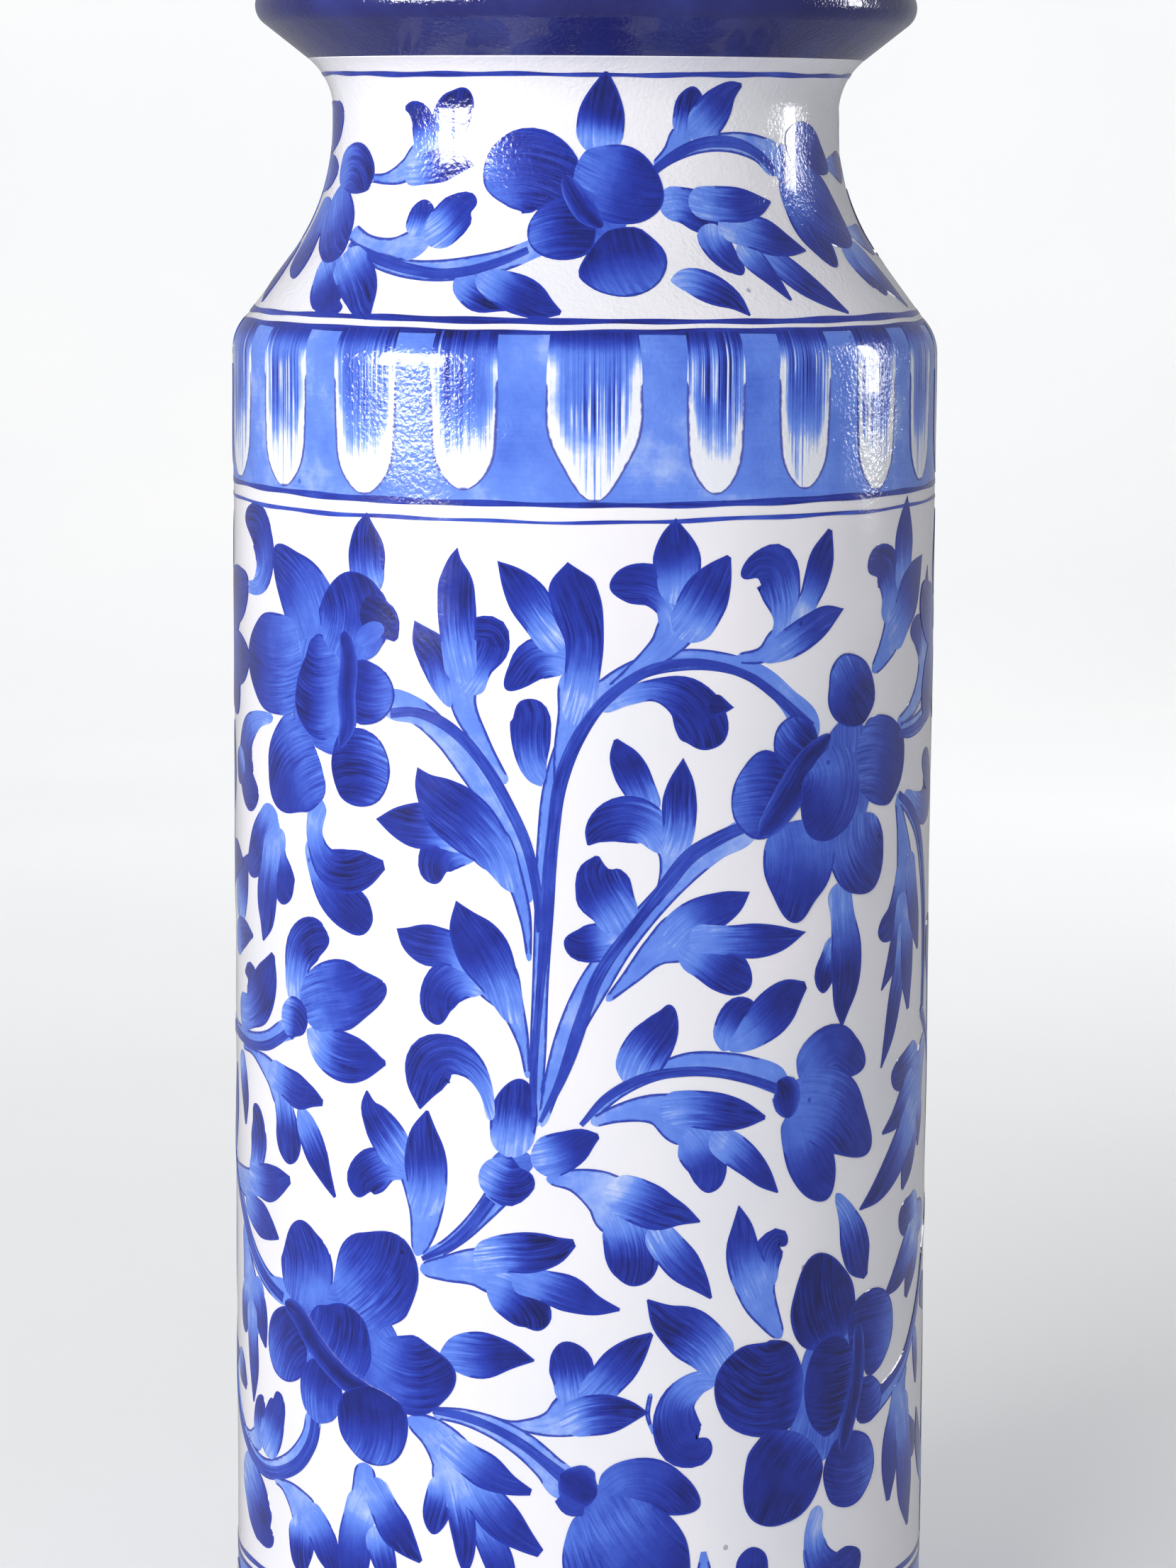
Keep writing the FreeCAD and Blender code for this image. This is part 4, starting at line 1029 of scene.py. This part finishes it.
class Graph:
    """A material's node tree, built one node at a time."""

    def __init__(self, name):
        self.material = bpy.data.materials.new(name)
        self.material.use_nodes = True
        self.tree = self.material.node_tree
        self.shader = self.tree.nodes["Principled BSDF"]

    def node(self, kind, values=None, **settings):
        made = self.tree.nodes.new(kind)
        for key, value in settings.items():
            setattr(made, key, value)
        for key, value in (values or {}).items():
            if isinstance(value, bpy.types.NodeSocket):
                self.tree.links.new(value, made.inputs[key])
            else:
                made.inputs[key].default_value = value
        return made

    def place(self):
        return self.node("ShaderNodeTexCoord").outputs["Object"]

    def noise(self, where, scale, detail=2.0, rough=0.5):
        values = {"Vector": where, "Scale": scale, "Detail": detail, "Roughness": rough}
        return self.node("ShaderNodeTexNoise", values).outputs["Fac"]

    def attribute(self, name, output="Fac"):
        return self.node("ShaderNodeAttribute", attribute_name=name).outputs[output]

    def scaled(self, vector, scale):
        made = self.node("ShaderNodeVectorMath", {0: vector, 1: scale}, operation="MULTIPLY")
        return made.outputs["Vector"]

    def map_range(self, value, start, end, first, last):
        values = {"Value": value, "From Min": start, "From Max": end, "To Min": first, "To Max": last}
        return self.node("ShaderNodeMapRange", values).outputs["Result"]

    def math(self, operation, *values):
        return self.node("ShaderNodeMath", dict(enumerate(values)), operation=operation).outputs[0]

    def centred(self, value, amount):
        """A noise turned into a swing about zero of this size."""
        return self.math("MULTIPLY", self.math("SUBTRACT", value, 0.5), amount)

    def ramp(self, value, stops):
        made = self.node("ShaderNodeValToRGB", {"Fac": value})
        points = made.color_ramp.elements
        while len(points) < len(stops):
            points.new(0.5)
        for point, (position, colour) in zip(points, stops):
            point.position = position
            point.color = colour
        return made.outputs["Color"]

    def mix(self, share, first, second, blend="MIX"):
        made = self.node("ShaderNodeMix", data_type="RGBA", blend_type=blend)
        for key, value in (("Factor", share), ("A", first), ("B", second)):
            inputs = [s for s in made.inputs if s.name == key and s.enabled]
            if isinstance(value, bpy.types.NodeSocket):
                self.tree.links.new(value, inputs[0])
            else:
                inputs[0].default_value = value
        return [s for s in made.outputs if s.enabled][0]

    def link(self, output, name):
        self.tree.links.new(output, self.shader.inputs[name])

    def set(self, **values):
        for key, value in values.items():
            self.shader.inputs[key.replace("_", " ")].default_value = value


PITS_START, PITS_FULL = 0.272, 0.290  # heights in metres between which the glaze becomes pitted


def glaze_surface(graph):
    """The gloss and the gentle uneven skin that every glazed surface shares, pitted at the shoulder."""
    where = graph.place()
    slow = graph.noise(where, 42.0, 1.0)
    fine = graph.noise(where, 1100.0, 2.0)
    rise = graph.node("ShaderNodeSeparateXYZ", {"Vector": where}).outputs["Z"]
    shoulder = graph.map_range(rise, PITS_START, PITS_FULL, 0.128, 0.992)
    pitted = graph.math("MULTIPLY", shoulder, graph.noise(where, 160.0, 1.0))
    height = graph.math("ADD", slow, graph.math("MULTIPLY", fine, pitted))
    bump = graph.node("ShaderNodeBump", {"Height": height, "Strength": 0.30, "Distance": 0.0011})
    graph.link(bump.outputs["Normal"], "Normal")
    rough = graph.noise(where, 150.0, 2.0)
    graph.link(graph.math("ADD", graph.math("MULTIPLY", rough, 0.10), 0.10), "Roughness")
    graph.set(Coat_Weight=0.35, Coat_Roughness=0.04, Coat_IOR=1.5, IOR=1.45)
    return where


def specks(graph, where, scale):
    """Small iron specks, scattered here and there."""
    cells = graph.node("ShaderNodeTexVoronoi", {"Vector": where, "Scale": scale})
    spot = graph.math("LESS_THAN", cells.outputs["Distance"], 0.055)
    chosen = graph.math("GREATER_THAN", graph.noise(where, 60.0, 0.0), 0.62)
    return graph.math("MULTIPLY", spot, chosen)


def white_glaze(name):
    """Milky white, slightly clouded, with a few grey specks."""
    graph = Graph(name)
    where = glaze_surface(graph)
    cloud = graph.noise(where, 26.0, 3.0)
    tint = graph.ramp(cloud, [(0.30, srgb(232, 233, 241)), (0.70, srgb(242, 240, 246))])
    speck = graph.math("MULTIPLY", specks(graph, where, 95.0), 0.55)
    graph.link(graph.mix(speck, tint, srgb(96, 100, 128)), "Base Color")
    return graph.material


def bristle_marks(graph, where, load):
    """Streaks along the strokes, stronger where there is more colour and in patches."""
    grain = graph.attribute("grain", "Vector")
    streak = graph.noise(graph.scaled(grain, (0.09, 1.6, 1.0)), 1.0, 2.0, 0.6)
    hair = graph.noise(graph.scaled(grain, (0.14, 4.6, 1.0)), 1.0, 1.0)
    patch = graph.map_range(graph.noise(where, 75.0, 1.0), 0.38, 0.62, 0.35, 1.5)
    strength = graph.map_range(load, 0.1, 0.5, 0.5, 1.0)
    swing = graph.math("ADD", graph.centred(streak, 2.0), graph.centred(hair, 0.9))
    swing = graph.math("MULTIPLY", graph.math("MULTIPLY", swing, graph.attribute("bristle")), strength)
    return graph.math("MULTIPLY", swing, patch)


def cobalt_brushwork():
    """Cobalt under the glaze: pale where the brush held little, nearly black where it pooled."""
    graph = Graph("cobalt_brushwork")
    where = glaze_surface(graph)
    load = graph.attribute("load")
    swing = bristle_marks(graph, where, load)
    pooling = graph.centred(graph.noise(where, 110.0, 4.0, 0.65), 0.55)
    clouding = graph.centred(graph.noise(where, 38.0, 3.0), 0.55)
    settled = graph.math("ADD", graph.math("ADD", load, swing), graph.math("ADD", pooling, clouding))
    settled = graph.math("ADD", settled, graph.math("MULTIPLY", specks(graph, where, 110.0), 0.30))
    tint = graph.ramp(graph.math("MULTIPLY_ADD", settled, 0.6, 0.2), [
        (0.11, srgb(236, 239, 248)),
        (0.20, srgb(160, 185, 245)),
        (0.29, srgb(104, 142, 237)),
        (0.41, srgb(82, 119, 222)),
        (0.53, srgb(60, 90, 200)),
        (0.65, srgb(41, 64, 176)),
        (0.77, srgb(29, 47, 154)),
        (0.89, srgb(22, 33, 118)),
        (1.00, srgb(18, 22, 80)),
    ])
    shaky = graph.math("ADD", graph.attribute("edge"), graph.centred(graph.noise(where, 700.0, 1.0), 0.5))
    outline = graph.map_range(shaky, 0.36, 0.66, 0.92, 0.0)
    graph.link(graph.mix(outline, tint, srgb(30, 52, 168)), "Base Color")
    return graph.material


def solid_cobalt(name):
    """The dense cobalt of the mouth and the foot, a little uneven in depth."""
    graph = Graph(name)
    where = glaze_surface(graph)
    cloud = graph.noise(where, 55.0, 4.0, 0.6)
    tint = graph.ramp(cloud, [(0.30, srgb(31, 33, 98)), (0.52, srgb(37, 41, 108)), (0.75, srgb(46, 54, 128))])
    graph.link(tint, "Base Color")
    return graph.material


def fired_clay(name, dark, light, grit):
    """Dull unglazed clay or slip, cloudy and gritty."""
    graph = Graph(name)
    where = graph.place()
    cloud = graph.noise(where, 40.0, 4.0)
    tint = graph.ramp(cloud, [(0.3, dark), (0.7, light)])
    grain = graph.noise(where, 1400.0, 3.0, 0.7)
    speck = graph.ramp(grain, [(0.35, (0.72, 0.68, 0.62, 1)), (0.6, (1, 1, 1, 1))])
    graph.link(graph.mix(grit, tint, speck, "MULTIPLY"), "Base Color")
    bump = graph.node("ShaderNodeBump", {"Height": grain, "Strength": 0.5, "Distance": 0.0004})
    graph.link(bump.outputs["Normal"], "Normal")
    graph.link(graph.math("ADD", graph.math("MULTIPLY", grain, 0.2), 0.7), "Roughness")
    return graph.material


WHITE = white_glaze("white_glaze")
CLEAR = white_glaze("clear_white_glaze")
BRUSH = cobalt_brushwork()
RIM_BLUE = solid_cobalt("rim_cobalt")
FOOT_BLUE = solid_cobalt("foot_cobalt")
BARE = fired_clay("bare_clay", srgb(196, 172, 142), srgb(222, 203, 176), 0.6)
CLAY_BODY = fired_clay("clay_body", srgb(190, 166, 138), srgb(212, 192, 166), 0.5)
SLIP = fired_clay("slip", srgb(206, 186, 160), srgb(226, 210, 188), 0.3)


# ---- the vase ----
def dress_cad():
    """Every CAD node that stays visible gets its real finish."""
    for name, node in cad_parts.items():
        finish = CLAY_BODY
        if name == "foot_ring":
            finish = BARE
        elif name.endswith("_seam"):
            finish = SLIP
        elif name.endswith("_glaze"):
            finish = CLEAR
        for place in node.material_slots:
            place.material = finish
        for face in node.data.polygons:
            face.use_smooth = True


def glaze_coats():
    """The three outer coats, each a closed form turned about the axis."""
    white = lathe("white_glaze_coat", between(FOOT_EDGE, RIM_EDGE), WHITE)
    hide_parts("white_body_glaze")
    over = np.vstack([between(RIM_EDGE, OUTSIDE[-1, 1]), OVER_LIP])
    rim = lathe("cobalt_mouth_coat", over, RIM_BLUE)
    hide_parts("cobalt_rim_glaze")
    foot = lathe("cobalt_foot_coat", between(FOOT_BARE, FOOT_EDGE), FOOT_BLUE)
    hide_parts("cobalt_foot_glaze")


def wheel_painting():
    """The rings, the wash grounds and the tongues that go all the way round."""
    for mark in RINGS:
        ring_piece(*mark)
    ground_piece("shoulder_band_wash", BAND_LOW, BAND_HIGH)
    ground_piece("foot_border_wash", BORDER_LOW, BORDER_HIGH)
    tongues = band_tongues()
    hanging = [tongue(x, half, tip, BAND_HIGH) for x, half, tip in tongues]
    paint("shoulder_band_tongues", TONGUE_LEVEL, hanging)
    standing = [tongue(x + BORDER_TURN, half, MIRRORED - tip, BORDER_LOW) for x, half, tip in tongues]
    paint("foot_border_tongues", TONGUE_LEVEL, standing)


def scroll_painting():
    """The flower scroll, painted twice round the vase: the front's and its fellow behind."""
    for side, turn in (("front", 0.0), ("back", math.pi)):
        for name, level, marks, reference in LAYERS:
            paint(f"{name}_{side}", level, marks, turn * reference, reference)
        for motifs, level, step, reference in MOTIFS:
            for order, (name, marks) in enumerate(motifs.items()):
                paint(f"{name}_{side}", level + step * (order % 3), marks, turn * reference, reference)


# ---- the studio ----
def rectangle_light(name, place, aim, size, power, tint=(1, 1, 1), glint=False):
    """A rectangular light: a glint shows only in gloss, and any other gives only diffuse light."""
    light = bpy.data.lights.new(name, "AREA")
    light.shape = "RECTANGLE"
    light.size, light.size_y = size
    light.energy = power
    light.color = tint
    lamp = bpy.data.objects.new(name, light)
    lamp.location = place
    lamp.rotation_mode = "QUATERNION"
    lamp.rotation_quaternion = (Vector(place) - Vector(aim)).to_track_quat("Z", "Y")
    lamp.visible_glossy = glint
    lamp.visible_diffuse = not glint
    bpy.context.scene.collection.objects.link(lamp)


def around(azimuth, distance, height):
    """A place round the vase; azimuth 0 is in front of it and 90 to its right."""
    turn = math.radians(azimuth)
    return math.sin(turn) * distance, -math.cos(turn) * distance, height


def window(name, azimuth, distance, low, high, width, panes, power):
    """Upright panes of light with dark bars between them, as a window shows in the glaze."""
    middle = (low + high) / 2
    size = (0.8 * width / panes, 0.86 * (high - low))
    for pane in range(panes):
        swing = math.degrees(width / distance) * ((pane + 0.5) / panes - 0.5)
        place = around(azimuth + swing, distance, middle)
        rectangle_light(f"{name}_{pane}", place, (0, 0, middle), size, power / panes, glint=True)


def studio():
    """Soft light from above on the left, a dim world, and the windows that the glaze mirrors."""
    world = bpy.data.worlds.new("soft_studio")
    world.use_nodes = True
    sky = world.node_tree.nodes["Background"].inputs
    sky["Color"].default_value = (0.97, 0.98, 1, 1)
    sky["Strength"].default_value = 0.32
    bpy.context.scene.world = world
    middle = (0, 0, 0.22)
    rectangle_light("key", around(-28, 1.5, 0.95), middle, (0.9, 0.9), 22, (1, 0.985, 0.97))
    rectangle_light("left_fill", around(-85, 1.6, 0.6), middle, (0.6, 0.9), 4)
    rectangle_light("back", around(150, 1.6, 0.9), middle, (0.9, 0.9), 3)
    rectangle_light("backdrop", (0, 1.3, 2.2), (0, 2.7, 0.9), (2.5, 0.8), 34)
    window("window", -56, 1.7, 0.185, 0.86, 0.74, 3, 48)
    window("side_window", 104, 1.5, 0.16, 0.90, 0.24, 1, 9)


def pale_paper():
    graph = Graph("pale_paper")
    mottling = graph.noise(graph.place(), 3.0)
    tint = graph.ramp(mottling, [(0.3, (0.86, 0.87, 0.88, 1)), (0.7, (0.9, 0.9, 0.9, 1))])
    graph.link(tint, "Base Color")
    graph.set(Roughness=0.9)
    return graph.material


def floor_sweep():
    """A pale floor that curves up into a backdrop far behind the vase."""
    front, bend_start, bend, top, half_width = -3.0, 1.8, 0.9, 3.2, 3.5
    outline = [(front, 0.0)]
    for turn in np.linspace(0, math.pi / 2, 13).tolist():
        outline.append((bend_start + bend * math.sin(turn), bend - bend * math.cos(turn)))
    outline.append((bend_start + bend, top))
    vertices = [(across, y, z) for across in (-half_width, half_width) for y, z in outline]
    count = len(outline)
    faces = [(k, k + count, k + count + 1, k + 1) for k in range(count - 1)]
    mesh = bpy.data.meshes.new("floor_sweep")
    mesh.from_pydata(vertices, [], faces)
    mesh.polygons.foreach_set("use_smooth", [True] * len(faces))
    mesh.materials.append(pale_paper())
    floor = bpy.data.objects.new("floor_sweep", mesh)
    floor.visible_glossy = False
    bpy.context.scene.collection.objects.link(floor)


def camera():
    """The photograph's camera: about a metre in front of the vase, level with its neck."""
    looking_down, yaw_angle, roll_angle = 7.64, -0.065, 0.283
    place = Matrix.Translation((0, -1.04262, 0.350))
    yaw = Matrix.Rotation(math.radians(yaw_angle), 4, "Z")
    pitch = Matrix.Rotation(math.radians(90 - looking_down), 4, "X")
    roll = Matrix.Rotation(math.radians(roll_angle), 4, "Z")
    data = bpy.data.cameras.new("camera")
    data.lens = 111.81
    data.sensor_width = 36.0
    made = bpy.data.objects.new("camera", data)
    made.matrix_world = place @ yaw @ pitch @ roll
    bpy.context.scene.collection.objects.link(made)
    bpy.context.scene.camera = made


dress_cad()
glaze_coats()
wheel_painting()
scroll_painting()
studio()
floor_sweep()
camera()

bpy.context.view_layer.update()
